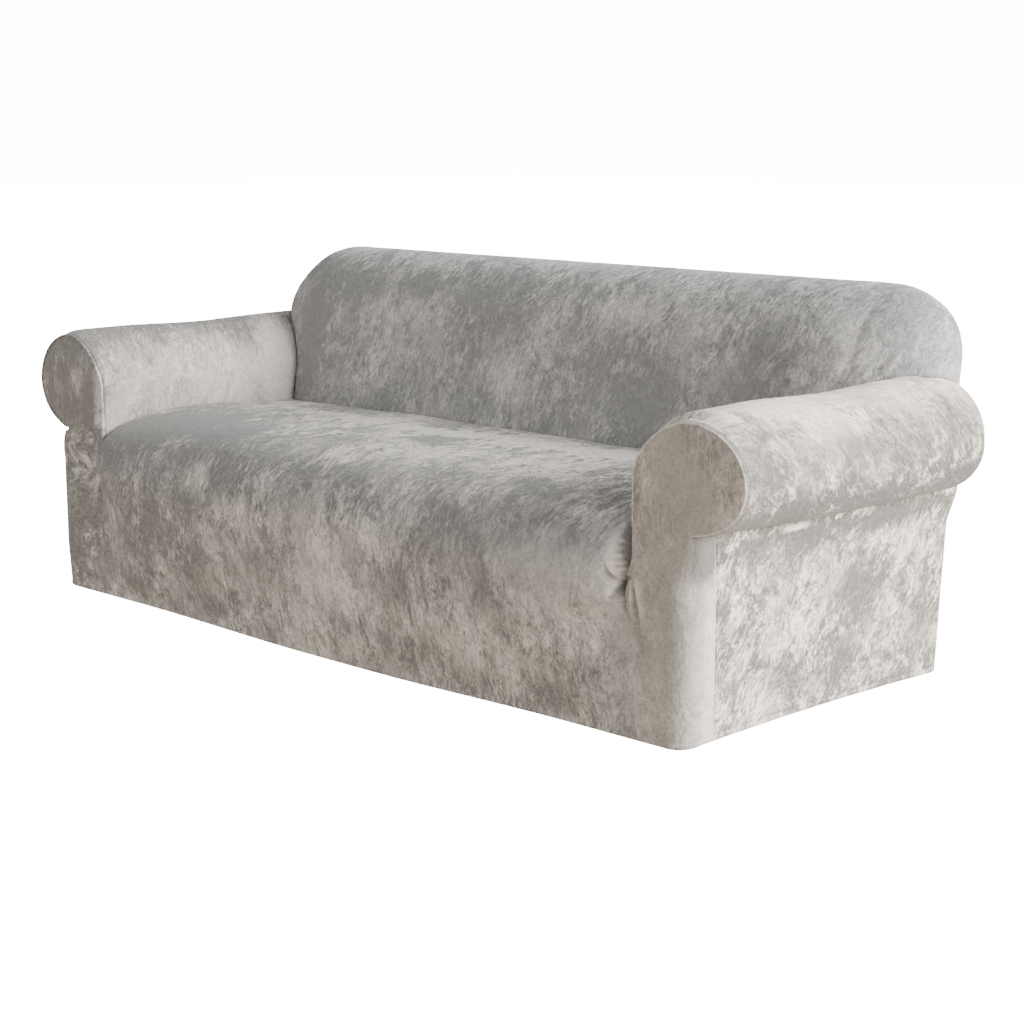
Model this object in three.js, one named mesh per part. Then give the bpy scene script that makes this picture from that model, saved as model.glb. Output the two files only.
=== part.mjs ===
// A one-size stretch cover for a three-seat sofa with rolled arms, in crushed velvet.
// It stands in the shape the sofa gives it, hollow and open below, cut as nine panels.
// Millimetres. X runs along the sofa, Y from its front to its back, Z up from the hem.

import * as THREE from 'three';

const { clamp, lerp, smoothstep } = THREE.MathUtils;

// Cloth
const CLOTH = 2;                // stretch velvet with its knitted backing
const SEWN_GAP = 0.3;           // between two panels where they are sewn
const TUCK = 25;                // how deep the cloth is pushed between the cushions
const HEM_TURN = 26;            // width of the elastic hem turned under
const HEM_CASING = 16;          // height of the stitched casing above the edge

// Body of the sofa form
const BODY_HALF = 975;          // middle to the outer face below the roll
const BODY_DEPTH = 817;         // front of the arms to the rear, at the hem
const REAR_RAKE = 0.06;         // rearward lean of the outside back for each mm of height
const REAR_BEND = 5e-5;         // and how that lean grows with the square of the height
const REAR_CORNER = 40;         // plan radius of the rear corners
const FRONT_CORNER = 50;        // plan radius of the front corners, at the hem
const THROAT_CORNER = 15;       // plan radius of the front corners, under the roll
const THROAT_FLARE = 18;        // how far the side swings out to meet the roll
const FLARE_START = 310;        // height where that starts
const SIDE_SEAM_Y = 81;         // seam between the scroll front and the side
const REAR_SEAM_X = 900;        // seam between the side and the outside back
const MID_DEPTH = 412;          // middle of the cover from front to rear, where the origin lies

// Rolled arm
const ARM_INNER = 839;          // inner face from the middle
const ROLL_X = 972;             // axis of the roll from the middle
const ROLL_Z = 500;             // axis of the roll above the hem
const ROLL_HALF = 133;          // half width of the roll at its front
const ROLL_TAPER = 8;           // what the outer half loses towards the rear
const ROLL_TOP_FRONT = 109;     // axis to top at the front
const ROLL_TOP_REAR = 130;      // axis to top at the rear
const ROLL_UNDER_FRONT = 109;   // axis to underside at the front
const ROLL_UNDER_REAR = 125;    // axis to underside further back
const INNER_ROUND = 1.7;        // power of the rounder inner shoulder, 2 being an ellipse
const RIM = 10;                 // radius of the edge between the scroll front and the roll
const DOME_X = 925;             // middle of the rounded rear end of the roll
const DOME_START = 715;         // where the rounded rear end starts, on top
const DOME_LAG = 32;            // how much later it starts underneath
const DOME_STEP = 140;          // cloth length for each radian round the rear end
const GIRTH_STEP = 121;         // cloth length for each radian round the roll

// Where the cover stands unevenly
const STAND = 8.5;              // base line of the forms above the lowest of the hem
const LEFT_SPREAD = 54;         // how much further out the left post stands below its roll
const LEFT_RISE = 14;           // how much higher the left roll is at its front
const LEFT_CORNER = 26;         // how much further the left top corner is rounded off
const HEM_SAG = 9;              // dip of the hem along the front
const HEM_ARCH = 11;            // rise of the hem along the sides
const HEM_FELT = 150;           // height up to which the dip and the rise are felt
const POST_UNDER = [305, 425];  // heights between which the spread fades out under the roll
const POST_WIDTH = 70;          // width over which it fades out towards the seams
const RISE_RUN = [60, 460];     // depths between which the rise of the left roll fades out
const ROUND_X = [760, 1000];    // where the extra rounding of the left top corner sets in
const ROUND_Z = [620, 790];
const SAG_HALF = 700;           // half length of the dip along the front
const FRONT_RUN = 60;           // depth over which the front hem turns into the side hem

// Backrest
const SEAT_REAR = 562;          // crease between seat and back
const SEAT_LEVEL = 423;         // height of that crease
const RECLINE = 0.16;           // rearward lean of the inside back for each mm of height
const BAND_X = 864;             // where the rounded end starts
const BAND_Z = 641;             // where the rounded top starts
const END_START = 701;          // where the inside back starts to curve away to the ends
const END_REACH = 305;          // and how far that curve runs
const END_DEPTH = 167;          // and how deep
const TOP_REACH = 161;          // height of the rounded top
const TOP_DEPTH = 130;          // depth of its front half
const REAR_TOP_REACH = 124;     // drop of its rear half, down to the seam
const REAR_END_REACH = 106;     // the same round the ends

// Seat and apron, as a side view from the rear crease to the hem
const SEAT_PROFILE = [
  { y: 562, z: 424 },
  { y: 440, z: 431 },
  { y: 320, z: 436 },
  { y: 203, z: 435 },
  { y: 105, z: 426 },
  { y: 33, z: 407 },
  { y: -14, z: 378 },
  { y: -42, z: 336 },
  { y: -55, z: 290 },
  { y: -51, z: 230 },
  { y: -36, z: 155 },
  { y: -16, z: 75 },
  { y: 0, z: 16 },
];
const SEAT_CROWN = 9;           // extra height in the middle of the seat
const CHEEK = 72;               // width of the rounded ends of the seat front
const SEAM_LOW_X = 856;         // seam between apron and scroll front, at the hem
const UNEVENNESS = 1.6;         // slow swells of the stretched cloth
const GATHER_Z = 322;           // bottom of the gather beside the seat
const PLAIN_Z = 215;            // below this the apron runs on smoothly past the seam
const RIM_BEHIND = 10;          // how far behind the scroll front the seat edge is pushed

// Pulled folds that fan out of the gathers, in the plane of the front
const GATHER_FOLDS = [
  { fromX: 838, fromZ: 318, toX: 772, toZ: 232, width: 13, depth: 4.5 },
  { fromX: 843, fromZ: 310, toX: 818, toZ: 196, width: 11, depth: 4 },
  { fromX: 850, fromZ: 312, toX: 884, toZ: 190, width: 12, depth: 4 },
];

// Mesh density
const FLAT_COLUMNS = 16;
const EDGE_PARTS = [0.4, 0.7, 0.9, 1];
const TUCK_ROWS = 4;
const SHOULDER_ROWS = 3;
const BAND_ROWS = 4;
const BAND_FRONT_STEPS = 8;
const BAND_REAR_STEPS = 6;
const FAN_STEPS = 4;
const SIDE_STEPS = 8;
const CORNER_STEPS = 4;
const POST_ROWS = 9;
const SCROLL_STEPS = 26;
const SEARCH_STEPS = 44;

// Rows of the seat and apron, as parts of the side view from hem to rear crease
const SEAT_ROWS = [0.985, 0.962, 0.93, 0.895, 0.86, 0.825, 0.79, 0.755, 0.72, 0.685, 0.65, 0.615,
  0.58, 0.54, 0.5, 0.45, 0.38, 0.3, 0.2, 0.1];
const TUCK_PARTS = [0, 0.45, 0.75, 0.93, 1];
const BACK_HEIGHTS = [60, 130, 200, 270, 340, 420, 500, 570];
const RING_SIZES = [1, 0.66, 0.3, 0];

const HEM_ROWS = [
  { z: 1.6, inset: HEM_TURN },
  { z: 0, inset: 7 },
  { z: 1.8, inset: 1.6 },
  { z: 7, inset: 0 },
  { z: HEM_CASING, inset: 0.6 },
];

const point = (x, y, z) => new THREE.Vector3(x, y, z);
const spread = (from, to, steps) =>
  Array.from({ length: steps + 1 }, (_, i) => lerp(from, to, i / steps));
const quarter = (t) => 1 - Math.sqrt(Math.max(0, 1 - t * t));

// The value between low and high at which test turns from negative to positive.
function turnOf(test, low, high) {
  for (let i = 0; i < SEARCH_STEPS; i += 1) {
    const middle = (low + high) / 2;
    if (test(middle) < 0) low = middle;
    else high = middle;
  }
  return (low + high) / 2;
}

// Columns from one edge to the other, closer together over the last stretch at each edge.
function columns(half, stretch) {
  const inner = half - stretch;
  const edge = EDGE_PARTS.map((part) => inner + stretch * part);
  return [...edge.map((x) => -x).reverse(), ...spread(-inner, inner, FLAT_COLUMNS), ...edge];
}

// Moves a point of an edge a little way towards its neighbour in the same panel.
function pull(edgePoint, neighbour, distance) {
  const way = neighbour.clone().sub(edgePoint);
  if (way.length() > 1e-6) edgePoint.addScaledVector(way.normalize(), distance);
}

// A panel: its outer face as patches of quads, given the cloth's thickness at the end.
// Columns crossed with rows point out of the cloth.
class Panel {
  constructor() {
    this.points = [];
    this.cells = new Map();
    this.faces = [];
  }

  vertex(place) {
    const cell = (value, step) => Math.round(value * 20) + step;
    for (const [i, j, k] of Panel.around) {
      const key = `${cell(place.x, i)},${cell(place.y, j)},${cell(place.z, k)}`;
      const found = this.cells.get(key);
      if (found !== undefined && this.points[found].distanceTo(place) < 0.02) return found;
    }
    const key = `${cell(place.x, 0)},${cell(place.y, 0)},${cell(place.z, 0)}`;
    this.cells.set(key, this.points.length);
    this.points.push(place.clone());
    return this.points.length - 1;
  }

  triangle(a, b, c, turned) {
    if (a === b || b === c || a === c) return;
    this.faces.push(turned ? [c, b, a] : [a, b, c]);
  }

  // side is -1 for the mirrored half.
  patch(rows, side = 1) {
    const turned = side < 0;
    const placed = rows.map((row) => row.map((p) => this.vertex(point(p.x * side, p.y, p.z))));
    for (let i = 0; i + 1 < placed.length; i += 1) {
      for (let j = 0; j + 1 < placed[i].length; j += 1) {
        const [a, b] = [placed[i][j], placed[i][j + 1]];
        const [d, c] = [placed[i + 1][j], placed[i + 1][j + 1]];
        const across = this.points[a].distanceTo(this.points[c]);
        if (across <= this.points[b].distanceTo(this.points[d])) {
          this.triangle(a, b, c, turned);
          this.triangle(a, c, d, turned);
        } else {
          this.triangle(a, b, d, turned);
          this.triangle(b, c, d, turned);
        }
      }
    }
  }

  normals() {
    const sums = this.points.map(() => point(0, 0, 0));
    for (const face of this.faces) {
      const [a, b, c] = face.map((index) => this.points[index]);
      const normal = b.clone().sub(a).cross(c.clone().sub(a));
      for (const index of face) sums[index].add(normal);
    }
    return sums.map((sum) => sum.normalize());
  }

  // The closed solid: outer face, inner face and the cut edges between them.
  solid() {
    const count = this.points.length;
    this.points.forEach(stance);
    const normals = this.normals();
    const inner = this.points.map((p, i) => p.clone().addScaledVector(normals[i], -CLOTH));
    const edges = new Set();
    for (const [a, b, c] of this.faces) [[a, b], [b, c], [c, a]].forEach((e) => edges.add(e.join()));
    const faces = [];
    for (const [a, b, c] of this.faces) {
      faces.push([a, b, c], [c + count, b + count, a + count]);
      for (const [from, to] of [[a, b], [b, c], [c, a]]) {
        if (edges.has(`${to},${from}`)) continue;
        faces.push([to, from, from + count], [to, from + count, to + count]);
      }
    }
    const places = [...this.points, ...inner];
    const geometry = new THREE.BufferGeometry();
    const values = places.flatMap((p) => [p.x, p.y - MID_DEPTH, p.z + STAND]);
    geometry.setAttribute('position', new THREE.Float32BufferAttribute(values, 3));
    geometry.setIndex(faces.flat());
    geometry.computeVertexNormals();
    return geometry;
  }
}
Panel.around = [-1, 0, 1].flatMap((i) => [-1, 0, 1].flatMap((j) => [-1, 0, 1].map((k) => [i, j, k])));

// Moves a point from the even forms to where the cover really stands.
function stance(p) {
  const seam = lerp(SEAM_LOW_X, REAR_SEAM_X, smoothstep(p.y, 100, 700));
  const post = smoothstep(-p.x, seam, seam + POST_WIDTH) * (1 - smoothstep(p.z, ...POST_UNDER));
  const overArm = smoothstep(-p.x, ARM_INNER - 20, ARM_INNER + 60) * smoothstep(p.z, ROLL_Z, BAND_Z);
  const low = 1 - smoothstep(p.z, 0, HEM_FELT);
  const ahead = 1 - smoothstep(p.y, 0, FRONT_RUN);
  const sag = ahead * smoothstep(SAG_HALF - Math.abs(p.x), 0, SAG_HALF - 100);
  const arch = Math.sin(Math.PI * clamp((p.y + 160) / 1100, 0, 1)) * (1 - ahead);
  const corner = smoothstep(-p.x, ...ROUND_X) * smoothstep(p.z, ...ROUND_Z);
  p.x -= LEFT_SPREAD * post - LEFT_CORNER * corner;
  p.z -= LEFT_CORNER * corner;
  p.z += LEFT_RISE * overArm * (1 - smoothstep(p.y, ...RISE_RUN));
  p.z += low * (HEM_ARCH * arch - HEM_SAG * sag);
}

// Section of the roll at depth y. The angle is 180 degrees at the inner face, 90 on top
// and 0 at the outermost line.
function rollSection(angle, y) {
  const [c, s] = [Math.cos(angle), Math.sin(angle)];
  const power = c < 0 && s > 0 ? 2 / INNER_ROUND : 1;
  const along = smoothstep(y, 0, 700);
  const half = ROLL_HALF - (c > 0 ? ROLL_TAPER * along : 0);
  const up = lerp(ROLL_TOP_FRONT, ROLL_TOP_REAR, along);
  const down = lerp(ROLL_UNDER_FRONT, ROLL_UNDER_REAR, smoothstep(y, 60, 320));
  return {
    x: ROLL_X + Math.sign(c) * half * Math.abs(c) ** power,
    z: ROLL_Z + Math.sign(s) * (s > 0 ? up : down) * Math.abs(s) ** power,
  };
}

const rearY = (z) => BODY_DEPTH + REAR_RAKE * z + REAR_BEND * z * z;
const domeStart = (angle) => DOME_START + DOME_LAG * Math.max(0, -Math.sin(angle));

// Where the path of one line of the roll ends, as half axes of its quarter turn.
function domeOf(angle) {
  const start = domeStart(angle);
  const width = rollSection(angle, start).x - DOME_X;
  const widest = rollSection(0, start).x - DOME_X;
  return { start, width, depth: (width / widest) * (rearY(ROLL_Z) - start) };
}

// A point of the arm's cloth: girth runs from the roll's inner line round to the throat, and
// is below zero on the flat inner face; along runs from the front and on round the rear end.
function armPoint(girth, along) {
  if (girth < 0) return point(ARM_INNER, along, ROLL_Z + girth);
  const angle = Math.PI - girth / GIRTH_STEP;
  const { start, width, depth } = domeOf(angle);
  const section = rollSection(angle, Math.min(along, start));
  if (along <= start) return point(section.x, along, section.z);
  const turn = Math.min((along - start) / DOME_STEP, Math.PI / 2);
  const beyond = Math.max(0, along - start - (DOME_STEP * Math.PI) / 2);
  return point(
    DOME_X + width * Math.cos(turn) - beyond,
    start + depth * Math.sin(turn),
    section.z,
  );
}

// The roll's cloth above or below a place in plan, as girth, along and height.
function armAt(x, y, below) {
  const inward = !below && x < ROLL_X;
  let angle;
  if (inward && y <= DOME_START) {
    const c = clamp((ROLL_X - x) / ROLL_HALF, 0, 1) ** (INNER_ROUND / 2);
    angle = Math.PI - Math.acos(c);
  } else {
    const outside = (size) => {
      const tried = below ? -size : size;
      const { start, width, depth } = domeOf(tried);
      if (y <= start) return rollSection(tried, y).x - x;
      return 1 - (Math.max(x - DOME_X, 0) / width) ** 2 - ((y - start) / depth) ** 2;
    };
    const size = turnOf((tried) => -outside(tried), 0, Math.PI / 2);
    angle = below ? -size : size;
  }
  const { start, width, depth } = domeOf(angle);
  const girth = (Math.PI - angle) * GIRTH_STEP;
  if (y <= start) return { girth, along: y, z: rollSection(angle, y).z };
  const turn = Math.atan2((y - start) / depth, Math.max(x - DOME_X, 0) / width);
  const along = start + turn * DOME_STEP + Math.max(0, DOME_X - x);
  return { girth, along, z: rollSection(angle, start).z };
}

// Plan of the body below the roll at height z, set in by inset: front, then the front corner,
// the side, the rear corner and the rear. run picks the stretch, part the place on it.
function bodyPlan(run, part, z, inset = 0) {
  const flare = smoothstep(z, FLARE_START, ROLL_Z - ROLL_UNDER_FRONT);
  const half = BODY_HALF + THROAT_FLARE * flare - inset;
  const rear = rearY(z) - inset;
  const front = inset;
  const corner = lerp(FRONT_CORNER, THROAT_CORNER, flare) - inset;
  const rearCorner = REAR_CORNER - inset;
  if (run === 'front') return { x: part, y: front };
  if (run === 'frontCorner') {
    const turn = (part * Math.PI) / 2;
    return { x: half - corner + corner * Math.sin(turn), y: front + corner * (1 - Math.cos(turn)) };
  }
  if (run === 'wrap') return { x: half, y: lerp(front + corner, SIDE_SEAM_Y, part) };
  if (run === 'side') return { x: half, y: lerp(SIDE_SEAM_Y, rear - rearCorner, part) };
  if (run === 'rearCorner') {
    const turn = (part * Math.PI) / 2;
    return {
      x: half - rearCorner * (1 - Math.cos(turn)),
      y: rear - rearCorner + rearCorner * Math.sin(turn),
    };
  }
  return { x: lerp(half - rearCorner, REAR_SEAM_X, part), y: rear };
}

// Height of the throat, where a line of the body meets the underside of the roll.
function throatAt(run, part) {
  const z = turnOf((tried) => {
    const place = bodyPlan(run, part, tried);
    return tried - armAt(place.x, place.y, true).z;
  }, ROLL_Z - 150, ROLL_Z);
  const place = bodyPlan(run, part, z);
  return { ...armAt(place.x, place.y, true), x: place.x, y: place.y, z };
}

// The rim of the scroll runs out into the throat at this part of the front corner's turn.
const RIM_END = 0.783;
const WRAP_STATIONS = [['frontCorner', RIM_END], ['frontCorner', 1], ['wrap', 0.5], ['wrap', 1]];
const SIDE_STATIONS = [
  ...spread(0, 1, SIDE_STEPS).map((part) => ['side', part]),
  ...spread(0, 1, CORNER_STEPS).slice(1).map((part) => ['rearCorner', part]),
  ['rear', 1],
];

// Inside back: its plane, its turn to the ends, and the band round its top and ends.
const backPlane = (z) => SEAT_REAR + RECLINE * Math.max(0, z - SEAT_LEVEL);
const endDrop = (x) => END_DEPTH * quarter(clamp((x - END_START) / END_REACH, 0, 1));

// Steps across the band, from the flat of the back over its ridge to the seam behind.
const BAND = [
  ...spread(0, 1, BAND_FRONT_STEPS).map((t) => {
    const first = Math.asin((BAND_X - END_START) / END_REACH);
    const end = lerp(first, Math.PI / 2, t);
    const top = (t * Math.PI) / 2;
    return {
      endReach: END_START + END_REACH * Math.sin(end) - BAND_X,
      endDrop: END_DEPTH * (1 - Math.cos(end)),
      topReach: TOP_REACH * Math.sin(top),
      topDrop: TOP_DEPTH * (1 - Math.cos(top)),
      behind: 0,
    };
  }),
  ...spread(0, 1, BAND_REAR_STEPS).slice(1).map((t) => {
    const turn = (t * Math.PI) / 2;
    return {
      endReach: END_START + END_REACH - BAND_X - REAR_END_REACH * (1 - Math.cos(turn)),
      endDrop: END_DEPTH,
      topReach: TOP_REACH - REAR_TOP_REACH * (1 - Math.cos(turn)),
      topDrop: TOP_DEPTH,
      behind: Math.sin(turn),
    };
  }),
];

// A place on the band at the end of the back, at height z.
function endBand(step, z) {
  const ridge = backPlane(z) + step.endDrop;
  return point(BAND_X + step.endReach, lerp(ridge, rearY(z), step.behind), z);
}

// A place on the band along the top, at x from the middle.
function topBand(step, x) {
  const z = BAND_Z + step.topReach;
  const low = step.behind > 0 ? BAND_Z + TOP_REACH : z;
  const ridge = backPlane(low) + step.topDrop + endDrop(x);
  return point(x, lerp(ridge, rearY(z), step.behind), z);
}

// A place on the band round the top corner, turn being 0 at the end and 90 degrees on top.
function cornerBand(step, turn) {
  const [c, s] = [Math.cos(turn) ** 2, Math.sin(turn) ** 2];
  const reach = step.endReach * c + step.topReach * s;
  const drop = step.endDrop * c + (step.topDrop + endDrop(BAND_X)) * s;
  const z = BAND_Z + reach * Math.sin(turn);
  const low = step.behind > 0 ? BAND_Z + TOP_REACH * Math.sin(turn) : z;
  const ridge = backPlane(low) + drop;
  return point(BAND_X + reach * Math.cos(turn), lerp(ridge, rearY(z), step.behind), z);
}

// The crease between arm and back: up the flat inner face, over the inner shoulder of the
// roll, and on round the rounded end of the back to the rear seam.
function backCrease() {
  const bottom = SEAT_LEVEL - TUCK;
  const flat = spread(bottom, ROLL_Z, TUCK_ROWS).map((z) => {
    const y = backPlane(z) + endDrop(ARM_INNER);
    return { x: ARM_INNER, y, z, girth: z - ROLL_Z, along: y };
  });
  const edge = turnOf((tried) => armPoint(tried, backPlane(ROLL_Z)).x - BAND_X, 0, 190);
  const shoulder = spread(0, edge, SHOULDER_ROWS).slice(1).map((girth) => {
    let y = backPlane(ROLL_Z);
    for (let i = 0; i < 6; i += 1) {
      const place = armPoint(girth, y);
      y = backPlane(place.z) + endDrop(place.x);
    }
    const place = armPoint(girth, y);
    return { x: place.x, y, z: place.z, girth, along: y };
  });
  const band = BAND.slice(1).map((step) => {
    const z = turnOf((tried) => {
      const place = endBand(step, tried);
      return tried - armAt(place.x, place.y, false).z;
    }, ROLL_Z, BAND_Z);
    const place = endBand(step, z);
    return { ...armAt(place.x, place.y, false), x: place.x, y: place.y, z };
  });
  return [...flat, ...shoulder, ...band];
}
const CREASE = backCrease();

// The throat runs from the scroll front to the rear seam, where it meets that crease.
const THROAT = [...WRAP_STATIONS, ...SIDE_STATIONS.slice(1)].map((s) => throatAt(...s));
THROAT[THROAT.length - 1] = CREASE.at(-1);

// Side view of the seat and apron: a place and the way out of the cloth, t from 0 at the
// rear crease to 1 at the hem.
const seatCurve = new THREE.SplineCurve(SEAT_PROFILE.map(({ y, z }) => new THREE.Vector2(y, z)));
function seatSide(t) {
  const place = seatCurve.getPoint(t);
  const way = seatCurve.getTangent(t);
  return { y: place.x, z: place.y, outY: way.y, outZ: -way.x };
}
const seatHeight = (y) => {
  const t = turnOf((tried) => y - seatCurve.getPoint(tried).x, 0, 0.5);
  return seatCurve.getPoint(t).y;
};

// Seam between the seat front and the scroll front, from the middle.
const frontSeamX = (z) => lerp(SEAM_LOW_X, ARM_INNER, clamp(z / GATHER_Z, 0, 1));

// How far the pulled folds sink into the front at a place.
function foldDepth(x, z) {
  let depth = 0;
  for (const fold of GATHER_FOLDS) {
    const [runX, runZ] = [fold.toX - fold.fromX, fold.toZ - fold.fromZ];
    const length = Math.hypot(runX, runZ);
    const t = clamp(((x - fold.fromX) * runX + (z - fold.fromZ) * runZ) / length ** 2, 0, 1);
    const away = Math.hypot(x - fold.fromX - runX * t, z - fold.fromZ - runZ * t);
    const fade = (1 - t) * smoothstep(t, 0, 0.12);
    depth += fold.depth * fade * Math.exp(-((away / fold.width) ** 2));
  }
  return depth;
}

// The slow unevenness of cloth stretched over a soft form; share fades it out at the seams.
function uneven(a, b, share) {
  const wave = Math.sin(a / 137 + 1.3) * Math.sin(b / 71 + 0.4) + 0.6 * Math.sin(a / 61 + b / 97);
  return UNEVENNESS * wave * share;
}

const SHADES = { apron: 0xa6a5a2, back: 0x999a98, arm: 0xc4c1bc, front: 0xaca69f, side: 0xb9b6b0 };
const VELVET = { roughness: 0.86, metalness: 0 };

function meshOf(name, panel, color) {
  const material = new THREE.MeshStandardMaterial({ color, ...VELVET });
  const mesh = new THREE.Mesh(panel.solid(), material);
  mesh.name = name;
  return mesh;
}

// Seat deck and apron.
function seatFront() {
  const rows = [];
  const rowOf = (side, tuck, inset) => {
    const deck = smoothstep(side.z, 380, 415);
    const front = smoothstep(-side.z, -GATHER_Z - 40, -GATHER_Z + 10);
    const cheek = lerp(TUCK, CHEEK, front);
    const behind = lerp(0, RIM_BEHIND, smoothstep(side.z, PLAIN_Z, GATHER_Z));
    const need = (behind - side.y) / Math.max(-side.outY, 0.25);
    const depth = deck === 1 ? TUCK : Math.max(need, front < 1 ? TUCK : 0);
    const plain = smoothstep(-side.z, -GATHER_Z + 12, -PLAIN_Z);
    const edgeX = lerp(frontSeamX(side.z - side.outZ * depth), ARM_INNER, deck) - SEWN_GAP;
    return columns(edgeX, cheek).map((x) => {
      const t = clamp((Math.abs(x) - edgeX + cheek) / cheek, 0, 1);
      const both = Math.min(1, Math.hypot(t, tuck));
      const round = lerp(quarter(both), smoothstep(t, 0, 1), plain);
      const middle = 1 - Math.min(1, Math.abs(x) / ARM_INNER) ** 2;
      const crown = SEAT_CROWN * middle * smoothstep(side.z, 250, 400);
      const share = (1 - t) * (1 - tuck) * smoothstep(side.z, 16, 60);
      const folds = side.outY < -0.5 ? foldDepth(Math.abs(x), side.z) : 0;
      const out = crown + uneven(x, side.y + side.z * 1.7, share) - round * depth - folds;
      const follow = endDrop(Math.abs(x)) * smoothstep(side.y, 300, SEAT_REAR - TUCK);
      return point(x, side.y + side.outY * out + inset + follow, side.z + side.outZ * out);
    });
  };
  for (const { z, inset } of HEM_ROWS) rows.push(rowOf({ y: 0, z, outY: -1, outZ: 0 }, 0, inset));
  for (const t of SEAT_ROWS) rows.push(rowOf(seatSide(t), 0, 0));
  for (const part of TUCK_PARTS) {
    const y = SEAT_REAR - SEWN_GAP - TUCK * (1 - part);
    rows.push(rowOf({ y, z: seatHeight(y), outY: 0, outZ: 1 }, part, 0));
  }
  const panel = new Panel();
  panel.patch(rows);
  return meshOf('seat_front', panel, SHADES.apron);
}

// Inside back: a middle field, a band round both ends and two fans at the top corners.
function insideBack() {
  const creaseRows = CREASE.slice(0, TUCK_ROWS + SHOULDER_ROWS + 1);
  const flatTop = creaseRows.at(-1).z;
  const field = [
    ...creaseRows.map(({ x, z }) => ({ edge: x, z })),
    ...spread(flatTop, BAND_Z, BAND_ROWS).slice(1).map((z) => ({ edge: BAND_X, z })),
  ].map(({ edge, z }) =>
    columns(edge, TUCK).map((x) => {
      const share = smoothstep(z, SEAT_LEVEL + 10, 520) * (1 - (x / edge) ** 4);
      return point(x, backPlane(z) + endDrop(Math.abs(x)) - uneven(x, z, share), z);
    }),
  );
  const over = BAND.slice(1).map((step) =>
    columns(BAND_X, TUCK).map((x) => {
      const share = (1 - (x / BAND_X) ** 4) * (1 - step.behind);
      const place = topBand(step, Math.abs(x));
      return point(x, place.y - uneven(x, place.z, share) * 0.7, place.z);
    }),
  );
  const end = spread(0, 1, BAND_ROWS).map((part) =>
    BAND.map((step, j) => {
      const low = CREASE[TUCK_ROWS + SHOULDER_ROWS + j].z;
      return endBand(step, lerp(low, BAND_Z, part));
    }),
  );
  const fan = spread(0, Math.PI / 2, FAN_STEPS).map((turn) =>
    BAND.map((step) => cornerBand(step, turn)),
  );
  end[0].forEach((p, j) => pull(p, end[1][j], SEWN_GAP));
  const last = TUCK_ROWS + SHOULDER_ROWS;
  field.slice(0, last).forEach((row, i) => {
    const gap = i <= TUCK_ROWS ? SEWN_GAP : 3 * SEWN_GAP;
    pull(row[0], row[1], gap);
    pull(row.at(-1), row.at(-2), gap);
  });
  field[last].at(-1).copy(end[0][0]);
  field[last][0].copy(end[0][0]);
  field[last][0].x *= -1;
  end.forEach((row) => pull(row.at(-1), row.at(-2), SEWN_GAP));
  fan.forEach((row) => pull(row.at(-1), row.at(-2), SEWN_GAP));
  over.at(-1).forEach((p, j) => pull(p, over.at(-2)[j], SEWN_GAP));
  const panel = new Panel();
  panel.patch([...field, ...over]);
  for (const side of [1, -1]) {
    panel.patch(end, side);
    panel.patch(fan, side);
  }
  return meshOf('inside_back', panel, SHADES.back);
}

// Outside back: plain, from the seam behind the top down to the hem.
function outsideBack() {
  const last = BAND.at(-1);
  const corner = spread(0, Math.PI / 2, FAN_STEPS).map((turn) => cornerBand(last, turn));
  const heights = [
    ...HEM_ROWS.map(({ z, inset }) => ({ z, inset, edge: REAR_SEAM_X })),
    ...BACK_HEIGHTS.map((z) => ({ z, inset: 0, edge: REAR_SEAM_X })),
    ...corner.map(({ x, z }) => ({ z, inset: 0, edge: x })),
  ];
  const rows = heights.map(({ z, inset, edge }) => {
    const low = Math.min(z, corner.at(-1).z - SEWN_GAP / 2);
    return spread(1, -1, 12).map((part) => {
      const x = part * (edge - SEWN_GAP / 2);
      const share = (1 - part ** 4) * smoothstep(z, 16, 80) * (1 - smoothstep(z, 560, 640));
      return point(x, rearY(z) - inset + uneven(x + 300, z, share), low);
    });
  });
  const panel = new Panel();
  panel.patch(rows);
  return meshOf('outside_back', panel, SHADES.back);
}

// Inner arm and roll: a field between the scroll front, the throat, the back crease and the
// edge tucked down beside the seat.
function arm(name, side) {
  const along = THROAT.length - 1;
  const around = CREASE.length - 1;
  const frontY = THROAT[0].y;
  const tuckY = spread(frontY, CREASE[0].y, along);
  const tucked = tuckY.map((y) => ({
    girth: seatHeight(clamp(y, 20, SEAT_REAR)) - TUCK - ROLL_Z,
    along: y,
  }));
  tucked[along] = CREASE[0];
  const front = spread(tucked[0].girth, THROAT[0].girth, around).map((girth) => ({
    girth,
    along: frontY,
  }));
  const blend = (i, j, key) => {
    const [v, u] = [i / along, j / around];
    const across = lerp(front[j][key], CREASE[j][key], v);
    const down = lerp(tucked[i][key], THROAT[i][key], u);
    const corners = lerp(
      lerp(front[0][key], front[around][key], u),
      lerp(CREASE[0][key], CREASE[around][key], u),
      v,
    );
    return across + down - corners;
  };
  const rows = tucked.map((_, i) =>
    front.map((__, j) => armPoint(blend(i, j, 'girth'), blend(i, j, 'along'))),
  );
  rows[0].forEach((p, j) => pull(p, rows[1][j], 3 * SEWN_GAP));
  rows[along].forEach((p, j) => pull(p, rows[along - 1][j], SEWN_GAP));
  rows.forEach((row) => pull(row[around], row[around - 1], SEWN_GAP / 2));
  const panel = new Panel();
  panel.patch(rows, side);
  return meshOf(name, panel, SHADES.arm);
}

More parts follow.
